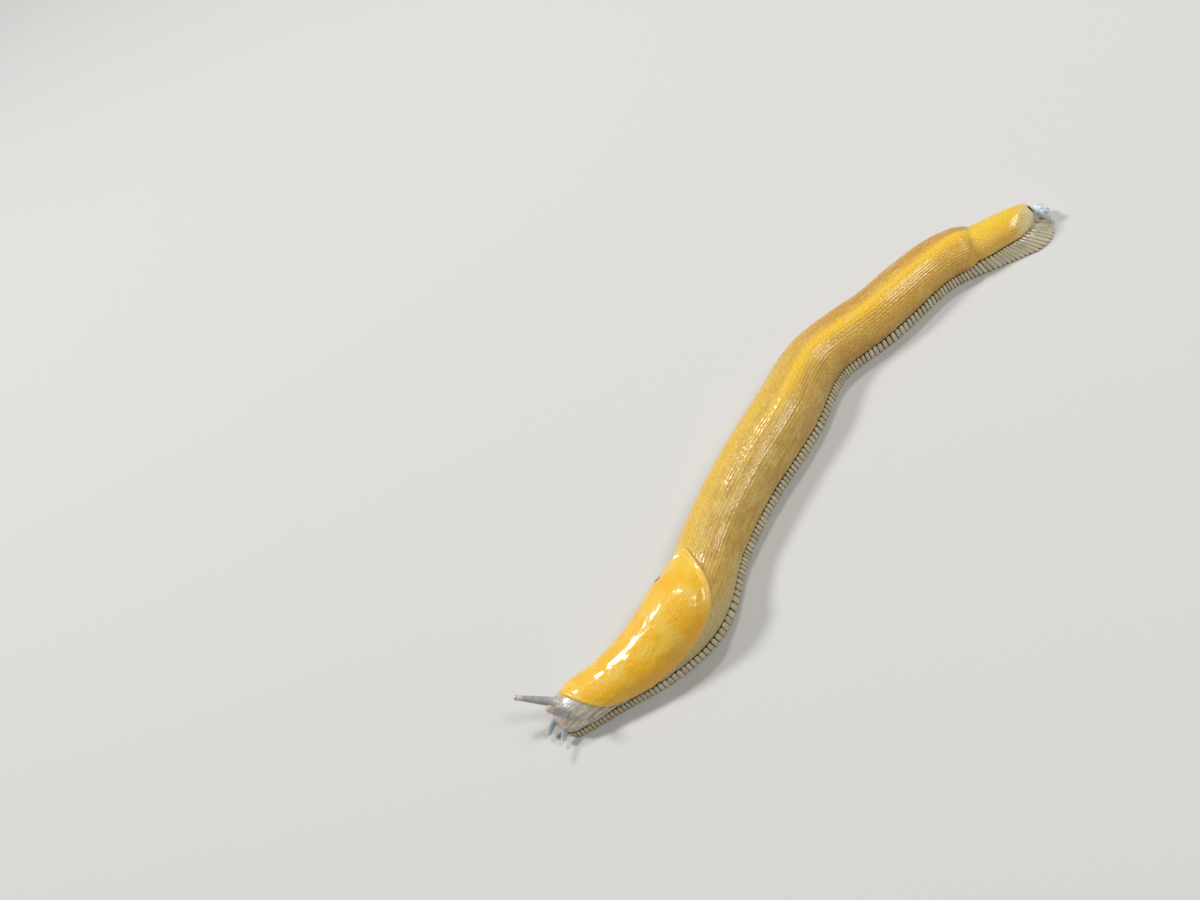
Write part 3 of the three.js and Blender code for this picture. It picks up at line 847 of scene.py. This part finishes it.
def ribMesh(around=14, rows=9):
    # a rounded pad about one unit wide, thick and high, standing on its lower edge
    points, edges = [], []
    power = 0.5
    for r in range(rows):
        lift = math.pi * (r + 0.5) / rows - math.pi / 2
        for c in range(around):
            turn = 2 * math.pi * c / around
            cz = math.copysign(abs(math.sin(lift)) ** power, math.sin(lift))
            cx = math.copysign(abs(math.cos(turn)) ** power, math.cos(turn)) * math.cos(lift) ** power
            cy = math.sin(turn) * math.cos(lift) ** power
            points.append((cx / 2 * (1 - 0.06 * cz), cy / 2, cz / 2))
            edges.append(abs(cx) ** 3)
    points += [(0, 0, -0.5), (0, 0, 0.5)]
    edges += [0, 0]
    mesh = bpy.data.meshes.new("rib")
    mesh.from_pydata(points, [], [face[:1] + face[:0:-1] for face in ringFaces(rows, around)])
    putValues(mesh, {"ribEdge": edges})
    mesh.shade_smooth()
    made = bpy.data.objects.new("rib", mesh)
    scene.collection.objects.link(made)
    return made


def ribPlaces(side):
    # middles of the ribs along one side, with the way they face and their sizes
    at, places = 0.5, []
    while at < bodyLength - 0.05:
        rear = smoothstep(*fringe["tailFrom"], at)
        front = 1 - smoothstep(*fringe["frontTo"], at)
        pitch = fringe["pitchMiddle"] + front * (fringe["pitchFront"] - fringe["pitchMiddle"])
        pitch += rear * (fringe["pitchTail"] - fringe["pitchMiddle"])
        share = max(float(footShare(np.array(at))), 0.12)
        step = pitch * max(share ** 1.6, 0.04)
        places.append(at + step / 2)
        at += step
    at = np.array(places)
    past = np.clip((at - fringe["slantFrom"]) / (bodyLength - fringe["slantFrom"]), 0, 1)
    topAt = at - (bodyLength - body["backEnd"]) * past ** fringe["slantPower"]
    narrow = np.maximum(footShare(at), 0.02)
    topNarrow = np.where(at < bodyLength / 2, narrow, np.maximum(backShare(topAt), 0.02))
    topWidth = footWidth(topAt) - fringeLean(topAt) * fringe["topLean"]
    topAt, left = askew(topAt, side * topWidth * topNarrow)
    top = placeAt(topAt, left, fringeHeight(topAt) + fringe["topLift"])
    low = placeAt(at, side * (footWidth(at) - fringe["lowInset"]) * narrow, 0.12 + 0 * at)
    # each rib faces across the run of the margin seen from above, round both ends too
    ahead = np.gradient(low * (1, 1, 0), axis=0)
    ahead /= np.linalg.norm(ahead, axis=1)[:, None]
    return at, low, top, ahead


def fringeTree():
    tree = bpy.data.node_groups.new("fringeRibs", "GeometryNodeTree")
    for name, kind in (("Geometry", "Geometry"), ("Rib", "Object"), ("Variation", "Float"),
                       ("Seed", "Int"), ("Material", "Material")):
        tree.interface.new_socket(name, in_out="INPUT", socket_type="NodeSocket" + kind)
    tree.interface.new_socket("Geometry", in_out="OUTPUT", socket_type="NodeSocketGeometry")
    add = tree.nodes.new
    start, finish = add("NodeGroupInput"), add("NodeGroupOutput")
    info = add("GeometryNodeObjectInfo")
    points = add("GeometryNodeMeshToPoints")
    place = add("GeometryNodeInstanceOnPoints")
    alignUp = add("FunctionNodeAlignRotationToVector")
    alignAlong = add("FunctionNodeAlignRotationToVector")
    up, ahead, scale = [add("GeometryNodeInputNamedAttribute") for i in range(3)]
    for source, name in ((up, "up"), (ahead, "ahead"), (scale, "size")):
        source.data_type = "FLOAT_VECTOR"
        source.inputs["Name"].default_value = name
    alignUp.axis = "Z"
    alignAlong.axis = "X"
    alignAlong.pivot_axis = "Z"
    random = add("FunctionNodeRandomValue")
    random.data_type = "FLOAT_VECTOR"
    low, high = add("ShaderNodeMath"), add("ShaderNodeMath")
    low.operation, high.operation = "SUBTRACT", "ADD"
    low.inputs[0].default_value = high.inputs[0].default_value = 1.0
    vary = add("ShaderNodeVectorMath")
    vary.operation = "MULTIPLY"
    realize, setMaterial = add("GeometryNodeRealizeInstances"), add("GeometryNodeSetMaterial")
    store = add("GeometryNodeStoreNamedAttribute")
    store.data_type = "FLOAT"
    store.domain = "INSTANCE"
    store.inputs["Name"].default_value = "tint"
    tint = add("FunctionNodeRandomValue")
    for source, output, target, socket in (
            (start, "Geometry", points, "Mesh"), (points, "Points", place, "Points"),
            (start, "Rib", info, "Object"), (info, "Geometry", place, "Instance"),
            (up, "Attribute", alignUp, "Vector"), (alignUp, "Rotation", alignAlong, "Rotation"),
            (ahead, "Attribute", alignAlong, "Vector"), (alignAlong, "Rotation", place, "Rotation"),
            (start, "Variation", low, 1), (start, "Variation", high, 1),
            (low, 0, random, "Min"), (high, 0, random, "Max"), (start, "Seed", random, "Seed"),
            (scale, "Attribute", vary, 0), (random, "Value", vary, 1), (vary, "Vector", place, "Scale"),
            (place, "Instances", store, "Geometry"), (start, "Seed", tint, "Seed"),
            (store, "Geometry", realize, "Geometry"), (realize, "Geometry", setMaterial, "Geometry"),
            (start, "Material", setMaterial, "Material"), (setMaterial, "Geometry", finish, "Geometry")):
        tree.links.new(source.outputs[output], target.inputs[socket])
    tree.links.new([o for o in tint.outputs if o.enabled][0], store.inputs["Value"])
    return tree


def fringeRibs(material):
    rib = ribMesh()
    sides = []
    for side in (1, -1):
        at, low, top, ahead = ribPlaces(side)
        up, middle = top - low, (low + top) / 2
        height = np.linalg.norm(up, axis=1)
        step = np.linalg.norm(np.gradient(middle, axis=0), axis=1)
        size = np.stack([step * fringe["fill"], 0 * at + fringe["thickness"] * 2, height * 1.02], -1)
        sides.append((middle, up / height[:, None], ahead, size * mm, at))
    places, ups, aheads, sizes, alongs = map(np.concatenate, zip(*sides))
    mesh = bpy.data.meshes.new("fringePlaces")
    mesh.from_pydata(((places + shift) * mm).tolist(), [], [])
    for name, data in (("up", ups), ("ahead", aheads), ("size", sizes)):
        attribute = mesh.attributes.new(name, "FLOAT_VECTOR", "POINT")
        attribute.data.foreach_set("vector", data.astype(np.float32).ravel())
    putValues(mesh, {"along": alongs})
    made = bpy.data.objects.new("fringe", mesh)
    scene.collection.objects.link(made)
    modifier = made.modifiers.new("ribs", "NODES")
    tree = fringeTree()
    modifier.node_group = tree
    inputs = {i.name: i.identifier for i in tree.interface.items_tree if i.in_out == "INPUT"}
    for name, value in (("Rib", rib), ("Variation", fringe["variation"]), ("Seed", fringe["seed"]),
                        ("Material", material)):
        modifier[inputs[name]] = value
    applyModifiers(made)
    bpy.data.objects.remove(rib)
    # nothing reaches below the sole
    points = pointsOf(made)
    points[:, 2] = np.maximum(points[:, 2], fringe["lowest"])
    movePoints(made, points)
    print("fringe ribs", len(places), "faces", len(made.data.polygons))
    return made


# Materials

def colour(*screen):
    # a screen colour, 0 to 255, as the linear colour that Blender uses
    shares = [c / 255 for c in screen]
    return (*[c / 12.92 if c <= 0.04045 else ((c + 0.055) / 1.055) ** 2.4 for c in shares], 1)


# how rough the wet film is, how much light the flesh takes in, and to what depth in millimetres
films = {
    "skin": {"coatRoughness": 0.14, "flesh": 0.16, "depth": 1.0},
    "fringe": {"coatRoughness": 0.12, "flesh": 0.12, "depth": 0.7},
    "eye": {"coatRoughness": 0.04, "flesh": 0.35, "depth": 0.6},
    "mucus": {"coatRoughness": 0.1, "flesh": 0.0, "depth": 1.2},
}


class Shader:
    # short calls that add nodes to one material
    def __init__(self, name):
        self.name = name
        self.material = bpy.data.materials.new(name)
        self.material.use_nodes = True
        self.nodes = self.material.node_tree.nodes
        self.link = self.material.node_tree.links.new
        self.nodes.clear()
        finish = self.add("OutputMaterial")
        self.surface = self.add("BsdfPrincipled")
        self.link(self.surface.outputs[0], finish.inputs[0])

    def set(self, socket, value):
        # a value is the output of a node, the name of a colour, or a constant
        if isinstance(value, str):
            value = colours[value]
        if hasattr(value, "is_output"):
            self.link(value, socket)
        else:
            socket.default_value = value

    def add(self, kind, **inputs):
        made = self.nodes.new("ShaderNode" + kind)
        for name, value in inputs.items():
            self.set(made.inputs[name], value)
        return made

    def value(self, name):
        made = self.add("Attribute")
        made.attribute_name = name
        return made.outputs["Fac"]

    def math(self, operation, a, b=0.0):
        made = self.add("Math")
        made.operation = operation
        self.set(made.inputs[0], a)
        self.set(made.inputs[1], b)
        return made.outputs[0]

    def times(self, a, b):
        return self.math("MULTIPLY", a, b)

    def plus(self, a, b):
        return self.math("ADD", a, b)

    def minus(self, a, b):
        return self.math("SUBTRACT", a, b)

    def most(self, a, b):
        return self.math("MAXIMUM", a, b)

    def ramp(self, x, low, high, start=0.0, end=1.0):
        made = self.nodes.new("ShaderNodeMapRange")
        made.interpolation_type = "SMOOTHSTEP"
        for name, value in (("Value", x), ("From Min", low), ("From Max", high),
                            ("To Min", start), ("To Max", end)):
            self.set(made.inputs[name], value)
        return made.outputs["Result"]

    def mix(self, amount, a, b):
        made = self.add("Mix")
        made.data_type = "RGBA"
        self.set(made.inputs["Factor"], amount)
        sockets = [s for s in made.inputs if s.type == "RGBA"]
        self.set(sockets[0], a)
        self.set(sockets[1], b)
        return [s for s in made.outputs if s.type == "RGBA"][0]

    def paint(self, base, tone, amount, share=None):
        # one of the colours laid over another, by the amount or by a share of it
        if share is not None:
            amount = self.times(amount, share)
        return self.mix(amount, base, tone)

    def combine(self, x, y):
        return self.add("CombineXYZ", X=x, Y=y).outputs[0]

    def place(self):
        # object coordinates in millimetres
        made = self.add("Mapping", Vector=self.add("TexCoord").outputs["Object"], Scale=(1 / mm,) * 3)
        return made.outputs[0]

    def noise(self, vector, scale, detail, roughness):
        made = self.add("TexNoise", Vector=vector, Scale=scale, Detail=detail, Roughness=roughness)
        return made.outputs["Fac"]

    def grain(self, size):
        made = self.add("Group")
        made.node_tree = grain
        made.inputs["Size"].default_value = size
        return made.outputs["Grain"]

    def bump(self, height, distance, strength):
        return self.add("Bump", Strength=strength, Distance=distance * mm, Height=height).outputs[0]

    def wet(self, tone, roughness, coat, normal=None):
        film = films[self.name]
        for name, value in (("Base Color", tone), ("Roughness", roughness), ("IOR", 1.45),
                            ("Coat Weight", coat), ("Coat Roughness", film["coatRoughness"]),
                            ("Coat IOR", 1.45), ("Subsurface Weight", film["flesh"]),
                            ("Subsurface Radius", (1.0, 0.55, 0.2)),
                            ("Subsurface Scale", film["depth"] * mm)):
            self.set(self.surface.inputs[name], value)
        if normal:
            self.link(normal, self.surface.inputs["Normal"])
        return self.material


def grainGroup():
    # the fine grain of wet skin, from 0 to 1, with its size in millimetres
    group = bpy.data.node_groups.new("grain", "ShaderNodeTree")
    group.interface.new_socket("Size", in_out="INPUT", socket_type="NodeSocketFloat")
    group.interface.new_socket("Grain", in_out="OUTPUT", socket_type="NodeSocketFloat")
    add, link = group.nodes.new, group.links.new
    start, finish, coordinates = add("NodeGroupInput"), add("NodeGroupOutput"), add("ShaderNodeTexCoord")
    scale, enlarge, grain = add("ShaderNodeMath"), add("ShaderNodeVectorMath"), add("ShaderNodeTexNoise")
    scale.operation = "DIVIDE"
    scale.inputs[0].default_value = 1 / mm
    enlarge.operation = "SCALE"
    grain.inputs["Scale"].default_value = 1.0
    grain.inputs["Detail"].default_value = 3.0
    grain.inputs["Roughness"].default_value = 0.6
    for source, target in (
            (start.outputs["Size"], scale.inputs[1]),
            (coordinates.outputs["Object"], enlarge.inputs[0]),
            (scale.outputs[0], enlarge.inputs["Scale"]),
            (enlarge.outputs["Vector"], grain.inputs["Vector"]),
            (grain.outputs["Fac"], finish.inputs["Grain"])):
        link(source, target)
    return group


grain = grainGroup()
# screen colours, 0 to 255
colours = {
    # the mantle's rim colour is a painted highlight, the rear's low colour also paints shade on the far
    # flank, and the hollow colour is painted shade in the openings
    "mantle": (253, 192, 20), "mantlePale": (253, 210, 82), "mantleDeep": (243, 172, 8),
    "mantleRim": (253, 228, 150), "back": (222, 184, 84), "backPale": (238, 208, 118),
    "backDeep": (206, 162, 68), "gold": (244, 198, 62), "groove": (168, 122, 50),
    "grooveTail": (212, 146, 52), "keel": (254, 202, 44), "rear": (236, 180, 66),
    "rearLow": (176, 120, 46), "rim": (214, 196, 142), "tail": (255, 206, 22),
    "tailFlank": (248, 196, 66), "tailEnd": (252, 230, 172), "cream": (210, 192, 132),
    "head": (184, 174, 148), "headCool": (170, 174, 168), "headDeep": (138, 126, 102),
    "headPale": (226, 220, 198), "snout": (196, 160, 136), "feeler": (178, 188, 198),
    "feelerDeep": (156, 154, 146), "feelerTip": (228, 212, 180), "hollow": (78, 54, 34),
    "eyeTip": (204, 186, 172), "fringe": (198, 184, 146), "fringePale": (226, 216, 184),
    "fringeTan": (190, 170, 130), "fringeGroove": (84, 66, 44), "fringeGrooveHead": (150, 132, 102),
    "sole": (196, 184, 152),
    "eyeSpot": (60, 52, 52), "mucus": (196, 208, 214), "mucusPale": (240, 244, 244),
}
colours = {name: colour(*screen) for name, screen in colours.items()}

# Where the skin's colours change: from and to, then the amounts there if these aren't 0 and 1. A name
# that ends in Side counts millimetres round the back from its middle, the others along the slug.
zones = {
    "rear": (104, 150), "gold": (150, 110), "goldSide": (-2.5, 5.0), "low": (85, 150, 0.15, 0.9),
    "lowSide": (8.0, 15.0), "shadeSide": (0.0, 2.5), "keelSide": (3.0, 0.8), "tail": (184, 187),
    "tailSide": (-4.5, -1.5), "plainSide": (-3.5, -1.5), "ending": (199, 204),
    "snout": (4.5, 1.5, 0.0, 0.75), "coolSide": (7.0, 1.0, 0.0, 0.6), "pale": (92, 52),
    "paleSide": (3.0, 9.5), "mantleSide": (5.5, 13.0), "footHead": (6, 34),
}


def rowPattern(s, row, step):
    # thin lines between the tubercles, their rounded crests and a chance value for each of them
    def nearEdge(x):
        return s.times(s.math("ABSOLUTE", s.minus(s.math("FRACT", x), 0.5)), 2.0)

    number = s.math("FLOOR", row)
    shifted = s.plus(step, s.times(number, back["rowShift"]))
    across, along = nearEdge(row), nearEdge(shifted)
    lines = s.most(s.ramp(across, 0.76, 0.98), s.times(s.ramp(along, 0.8, 0.98), 0.9))
    crest = s.minus(1.0, s.math("POWER", across, 2.0))
    crest = s.times(crest, s.minus(1.0, s.math("POWER", along, 6.0)))
    chance = s.add("TexWhiteNoise")
    chance.noise_dimensions = "2D"
    s.link(s.combine(number, s.math("FLOOR", shifted)), chance.inputs["Vector"])
    return lines, crest, chance.outputs["Value"]


def skinMaterial():
    s = Shader("skin")
    along, around = s.value("along"), s.value("around")
    headMask, relief = s.value("head"), s.value("relief")
    mantleMask, footMask, feelerMask = s.value("mantle"), s.value("foot"), s.value("feeler")
    onMantle = s.ramp(mantleMask, 0.3, 0.7)
    lines, crest, chance = rowPattern(s, s.value("row"), s.value("step"))

    def onSkin(perAlong, perAround, detail, roughness):
        # noise that follows the skin, with its waves to a millimetre each way
        vector = s.combine(s.times(along, perAlong), s.times(around, perAround))
        return s.noise(vector, 1.0, detail, roughness)

    side = s.math("ABSOLUTE", around)
    streaks = onSkin(0.14, 0.55, 4, 0.6)
    mottle = s.noise(s.place(), 0.13, 3, 0.55)
    fine = s.grain(0.6)

    # the back: mustard with brown patches, gold on its far shoulder, more orange towards the tail, and
    # painted shade on the far flank towards the tail
    yellow = s.mix(s.ramp(streaks, 0.36, 0.62), "backDeep", "back")
    yellow = s.paint(yellow, "backPale", s.ramp(mottle, 0.5, 0.72))
    rear = s.ramp(along, *zones["rear"])
    yellow = s.paint(yellow, "rear", rear, 0.75)
    gold = s.times(s.ramp(around, *zones["goldSide"]), s.ramp(along, *zones["gold"]))
    yellow = s.paint(yellow, "gold", gold, 0.8)
    low = s.times(s.ramp(side, *zones["lowSide"]), s.ramp(mottle, 0.25, 0.7, 0.45, 1.0))
    low = s.times(low, s.ramp(along, *zones["low"]))
    yellow = s.paint(yellow, "rearLow", low)
    # painted shade: the far flank towards the tail is darkened with the rear's low colour
    shade = s.times(s.ramp(around, *zones["shadeSide"]), rear)
    yellow = s.paint(yellow, "rearLow", shade, 0.45)
    ridge = back["keel"]
    keelOff = s.ramp(along, *ridge["straightens"], ridge["side"], 0.0)
    fromKeel = s.math("ABSOLUTE", s.minus(around, keelOff))
    keel = s.times(s.ramp(fromKeel, *zones["keelSide"]), s.ramp(along, *ridge["rises"]))
    yellow = s.paint(yellow, "keel", keel, 0.9)
    lowest = s.ramp(s.math("ABSOLUTE", s.value("row")), back["rows"] - 1.8, back["rows"] - 0.4, 0.0, 0.75)
    yellow = s.paint(yellow, "rim", lowest)

    # the clear yellow tail pales to cream at its end
    tail = s.ramp(along, *zones["tail"])
    tailBase = s.mix(s.ramp(around, *zones["tailSide"]), "tailFlank", "tail")
    ending = s.ramp(s.plus(along, s.times(mottle, 4.0)), *zones["ending"])
    tailBase = s.paint(tailBase, "tailEnd", ending)
    yellow = s.mix(tail, yellow, tailBase)
    yellow = s.paint(yellow, "backPale", s.ramp(chance, 0.55, 1.0, 0.0, 0.35))
    plain = s.most(keel, s.times(tail, s.ramp(around, *zones["plainSide"])))
    drawn = s.times(lines, s.ramp(plain, 0.2, 1.0, 0.52, 0.08))
    drawn = s.times(drawn, s.ramp(tail, 0, 1, 1.0, 0.5))
    drawn = s.times(drawn, s.ramp(streaks, 0.3, 0.6, 1.0, 0.7))
    yellow = s.mix(drawn, yellow, s.mix(tail, "groove", "grooveTail"))

    # the head, the neck and the pale flank under the mantle
    folds = onSkin(0.35, 1.3, 3, 0.5)
    grey = s.mix(s.ramp(folds, 0.38, 0.66), "head", "headPale")
    grey = s.paint(grey, "headCool", s.ramp(side, *zones["coolSide"]))
    grey = s.paint(grey, "headDeep", relief, 0.25)
    grey = s.paint(grey, "snout", s.ramp(along, *zones["snout"]))
    cream = s.mix(s.times(lines, 0.4), "cream", "groove")
    reach = s.plus(s.minus(s.times(along, 0.19), 5.5), s.times(streaks, 3.0))
    pale = s.ramp(s.minus(side, reach), *zones["paleSide"])
    pale = s.times(pale, s.ramp(along, *zones["pale"]))
    base = s.mix(s.times(pale, 0.85), yellow, cream)
    base = s.mix(headMask, base, grey)

    # the mantle, with a painted highlight along its margin: a pale rim, strongest along the rear
    sheen = s.mix(s.ramp(mottle, 0.42, 0.7), "mantle", "mantlePale")
    sheen = s.paint(sheen, "mantleDeep", s.ramp(side, *zones["mantleSide"]), 0.75)
    sheen = s.paint(sheen, "mantlePale", s.ramp(fine, 0.56, 0.8, 0.0, 0.2))
    sheen = s.paint(sheen, "mantleRim", relief, 0.5)
    base = s.mix(onMantle, base, sheen)

    # feelers, and the foot between its ribs
    stalk = s.mix(s.ramp(mottle, 0.3, 0.6), "feelerDeep", "feeler")
    stalk = s.paint(stalk, "feelerTip", s.ramp(feelerMask, 0.8, 0.97))
    base = s.mix(s.ramp(feelerMask, 0.15, 0.5), base, stalk)
    split = s.add("SeparateXYZ")
    s.link(s.add("NewGeometry").outputs["Normal"], split.inputs[0])
    under = s.ramp(split.outputs[2], -0.4, -0.9)
    shelf = s.most(s.ramp(split.outputs[2], 0.75, 0.95), s.ramp(along, *zones["ending"]))
    between = s.mix(s.ramp(along, *zones["footHead"]), "fringeGrooveHead", "fringeGroove")
    edge = s.paint(between, "sole", s.most(under, shelf))
    base = s.mix(s.ramp(footMask, 0.3, 0.7), base, edge)
    # painted shade: the walls of the mouth and the pores are darkened, more weakly on the mantle
    hollow = s.times(s.value("hollow"), s.ramp(mantleMask, 0.3, 0.7, 0.9, 0.45))
    base = s.paint(base, "hollow", hollow)

    # bumps: tubercles on the back, granules on the head, and a fine orange-peel on the mantle
    onBack = s.times(s.minus(1.0, headMask), s.ramp(mantleMask, 0.6, 0.3))
    onBack = s.times(onBack, s.ramp(footMask, 0.6, 0.3))
    crests = s.times(crest, s.ramp(tail, 0, 1, 0.4, 0.1))
    drops = s.times(onSkin(1.8, 2.3, 3, 0.6), s.ramp(tail, 0, 1, 1.9, 2.6))
    height = s.times(s.plus(crests, drops), onBack)
    granules = s.plus(s.times(folds, 1.6), s.times(fine, 0.5))
    height = s.plus(height, s.times(granules, headMask))
    peel = onSkin(0.8, 1.9, 5, 0.7)
    height = s.plus(height, s.times(peel, s.ramp(mantleMask, 0.3, 0.7, 0.0, 2.0)))
    film = s.most(s.ramp(mantleMask, 0.3, 0.7, 0.45, 0.65), headMask)
    return s.wet(base, s.ramp(fine, 0.3, 0.7, 0.2, 0.36), s.most(film, tail), s.bump(height, 0.15, 1.0))


def fringeMaterial():
    s = Shader("fringe")
    tint, edge, along = s.value("tint"), s.value("ribEdge"), s.value("along")
    fine = s.grain(0.77)
    base = s.mix(tint, "fringe", "fringePale")
    base = s.paint(base, "fringeTan", s.ramp(along, 30, 8, 0.0, 0.7))
    base = s.paint(base, "fringePale", s.ramp(along, 176, 192, 0.0, 0.5))
    base = s.paint(base, "fringeTan", s.ramp(fine, 0.4, 0.75, 0.0, 0.35))
    sides = s.ramp(edge, s.ramp(along, 60, 180, 0.7, 0.45), 1.0, 0.0, s.ramp(along, 60, 180, 0.5, 0.8))
    groove = s.mix(s.ramp(along, 10, 60), "fringeGrooveHead", "fringeGroove")
    base = s.mix(sides, base, groove)
    return s.wet(base, 0.28, s.ramp(along, 180, 192, 0.4, 1.0), s.bump(fine, 0.1, 0.6))


def eyeMaterial():
    s = Shader("eye")
    spot = s.value("spot")
    base = s.mix(s.ramp(spot, 0.93, 0.98), "eyeTip", "eyeSpot")
    base = s.mix(s.ramp(spot, 0.1, 0.5), "feeler", base)
    return s.wet(base, 0.16, 1.0)


def mucusMaterial():
    s = Shader("mucus")
    cloudy = s.grain(1.1)
    base = s.mix(s.ramp(cloudy, 0.35, 0.7), "mucus", "mucusPale")
    return s.wet(base, 0.2, 1.0, s.bump(cloudy, 0.15, 0.5))


skin = oneSkin()
skin.data.materials.clear()
skin.data.materials.append(skinMaterial())
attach(skin, "root")
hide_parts("head", "neck", "body_front", "body_middle", "body_rear", "body_end", "tail", "mantle",
            "foot_front", "foot_middle", "foot_rear", "foot_tail", "tentacle_upper_left",
            "tentacle_upper_right", "tentacle_lower_left", "tentacle_lower_right")
print("skin made")

ribs = fringeRibs(fringeMaterial())
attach(ribs, "root")
print("fringe made")

eyeLook = eyeMaterial()
for feeler, node in zip(feelers, ("eye_left", "eye_right")):
    eye = eyeBulb(feeler)
    eye.data.materials.append(eyeLook)
    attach(eye, "root")
    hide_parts(node)


heap = {
    "at": 204.6,
    "left": -4.2,
    "height": 3.4,
    "length": 2.8,
    "width": 2.7,
    "depth": 2.1,
    "size": 0.92,
    "lumps": [(0.22, 1.7, 9, 1, 51), (0.12, 3.6, 30, 2, 52)],  # height, fineness, offset, twist and seed
    "lowest": 0.4,
}


def mucus():
    # a heap of wet lumps on the end of the tail
    centre = placeAt(np.array(heap["at"]), heap["left"], heap["height"])
    made = ellipsoid("mucusBlob", centre, (heap["length"], heap["width"], heap["depth"]),
                     headingAt(heap["at"]), 96)
    away = pointsOf(made) - centre
    x, y, z = (away / np.linalg.norm(away, axis=1)[:, None]).T
    lumps = sum(height * noise(x * fine + offset + twist * z, y * fine + offset - z, seed)
                for height, fine, offset, twist, seed in heap["lumps"])
    points = centre + away * (heap["size"] + lumps)[:, None]
    points[:, 2] = np.maximum(points[:, 2], heap["lowest"])
    movePoints(made, points)
    return made


plug = mucus()
plug.data.materials.append(mucusMaterial())
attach(plug, "root")
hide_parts("mucus_plug")
print("eyes and mucus made")

# Floor, light and camera

studio = {
    "floor": 1.6,            # half the floor's width, in metres
    "floorColour": (0.66, 0.65, 0.63, 1),
    "world": 0.24,
    "worldColour": (0.95, 0.97, 1.0, 1),
    "key": {"from": (-0.76, 1.08, 1.37), "size": 0.36, "power": 19.0},
    "sky": {"from": (0.26, 0.42, 0.95), "size": 0.12, "power": 3.0},
    "fill": {"from": (0.5, -0.42, 0.8), "size": 0.3, "power": 3.2},
}


def addFloor():
    half = studio["floor"]
    corners = [(-half, -half, 0), (half, -half, 0), (half, half, 0), (-half, half, 0)]
    mesh = bpy.data.meshes.new("floor")
    mesh.from_pydata(corners, [], [(0, 1, 2, 3)])
    floor = bpy.data.objects.new("floor", mesh)
    scene.collection.objects.link(floor)
    s = Shader("floor")
    s.surface.inputs["Base Color"].default_value = studio["floorColour"]
    s.surface.inputs["Roughness"].default_value = 0.8
    mesh.materials.append(s.material)


def addLight(name, values):
    light = bpy.data.lights.new(name, "AREA")
    light.shape = "DISK"
    light.size = values["size"]
    light.energy = values["power"]
    made = bpy.data.objects.new(name, light)
    made.location = values["from"]
    made.rotation_mode = "QUATERNION"
    made.rotation_quaternion = (-Vector(values["from"])).to_track_quat("-Z", "Y")
    scene.collection.objects.link(made)


view = {
    "from": (-60.75, -143.81, 222.94),  # millimetres, before the shift
    "ahead": (0.0811, 0.6642, -0.7431),
    "roll": 40.0,
    "lens": 28.5,
}


def addCamera():
    data = bpy.data.cameras.new("camera")
    data.lens = view["lens"]
    data.sensor_width = 36
    data.clip_start = 0.01
    made = bpy.data.objects.new("camera", data)
    ahead = Vector(view["ahead"]).normalized()
    right = ahead.cross(Vector((0, 0, 1))).normalized()
    up = right.cross(ahead)
    roll = math.radians(view["roll"])
    across = right * math.cos(roll) - up * math.sin(roll)
    upward = right * math.sin(roll) + up * math.cos(roll)
    turn = Matrix((across, upward, -ahead)).transposed().to_4x4()
    made.matrix_world = Matrix.Translation((Vector(view["from"]) + Vector(shift)) * mm) @ turn
    scene.collection.objects.link(made)
    scene.camera = made


addFloor()
for name in ("key", "sky", "fill"):
    addLight(name, studio[name])
world = bpy.data.worlds.new("studio")
world.use_nodes = True
background = world.node_tree.nodes["Background"].inputs
background["Color"].default_value = studio["worldColour"]
background["Strength"].default_value = studio["world"]
scene.world = world
scene.view_settings.view_transform = "Standard"
addCamera()
print("studio made")
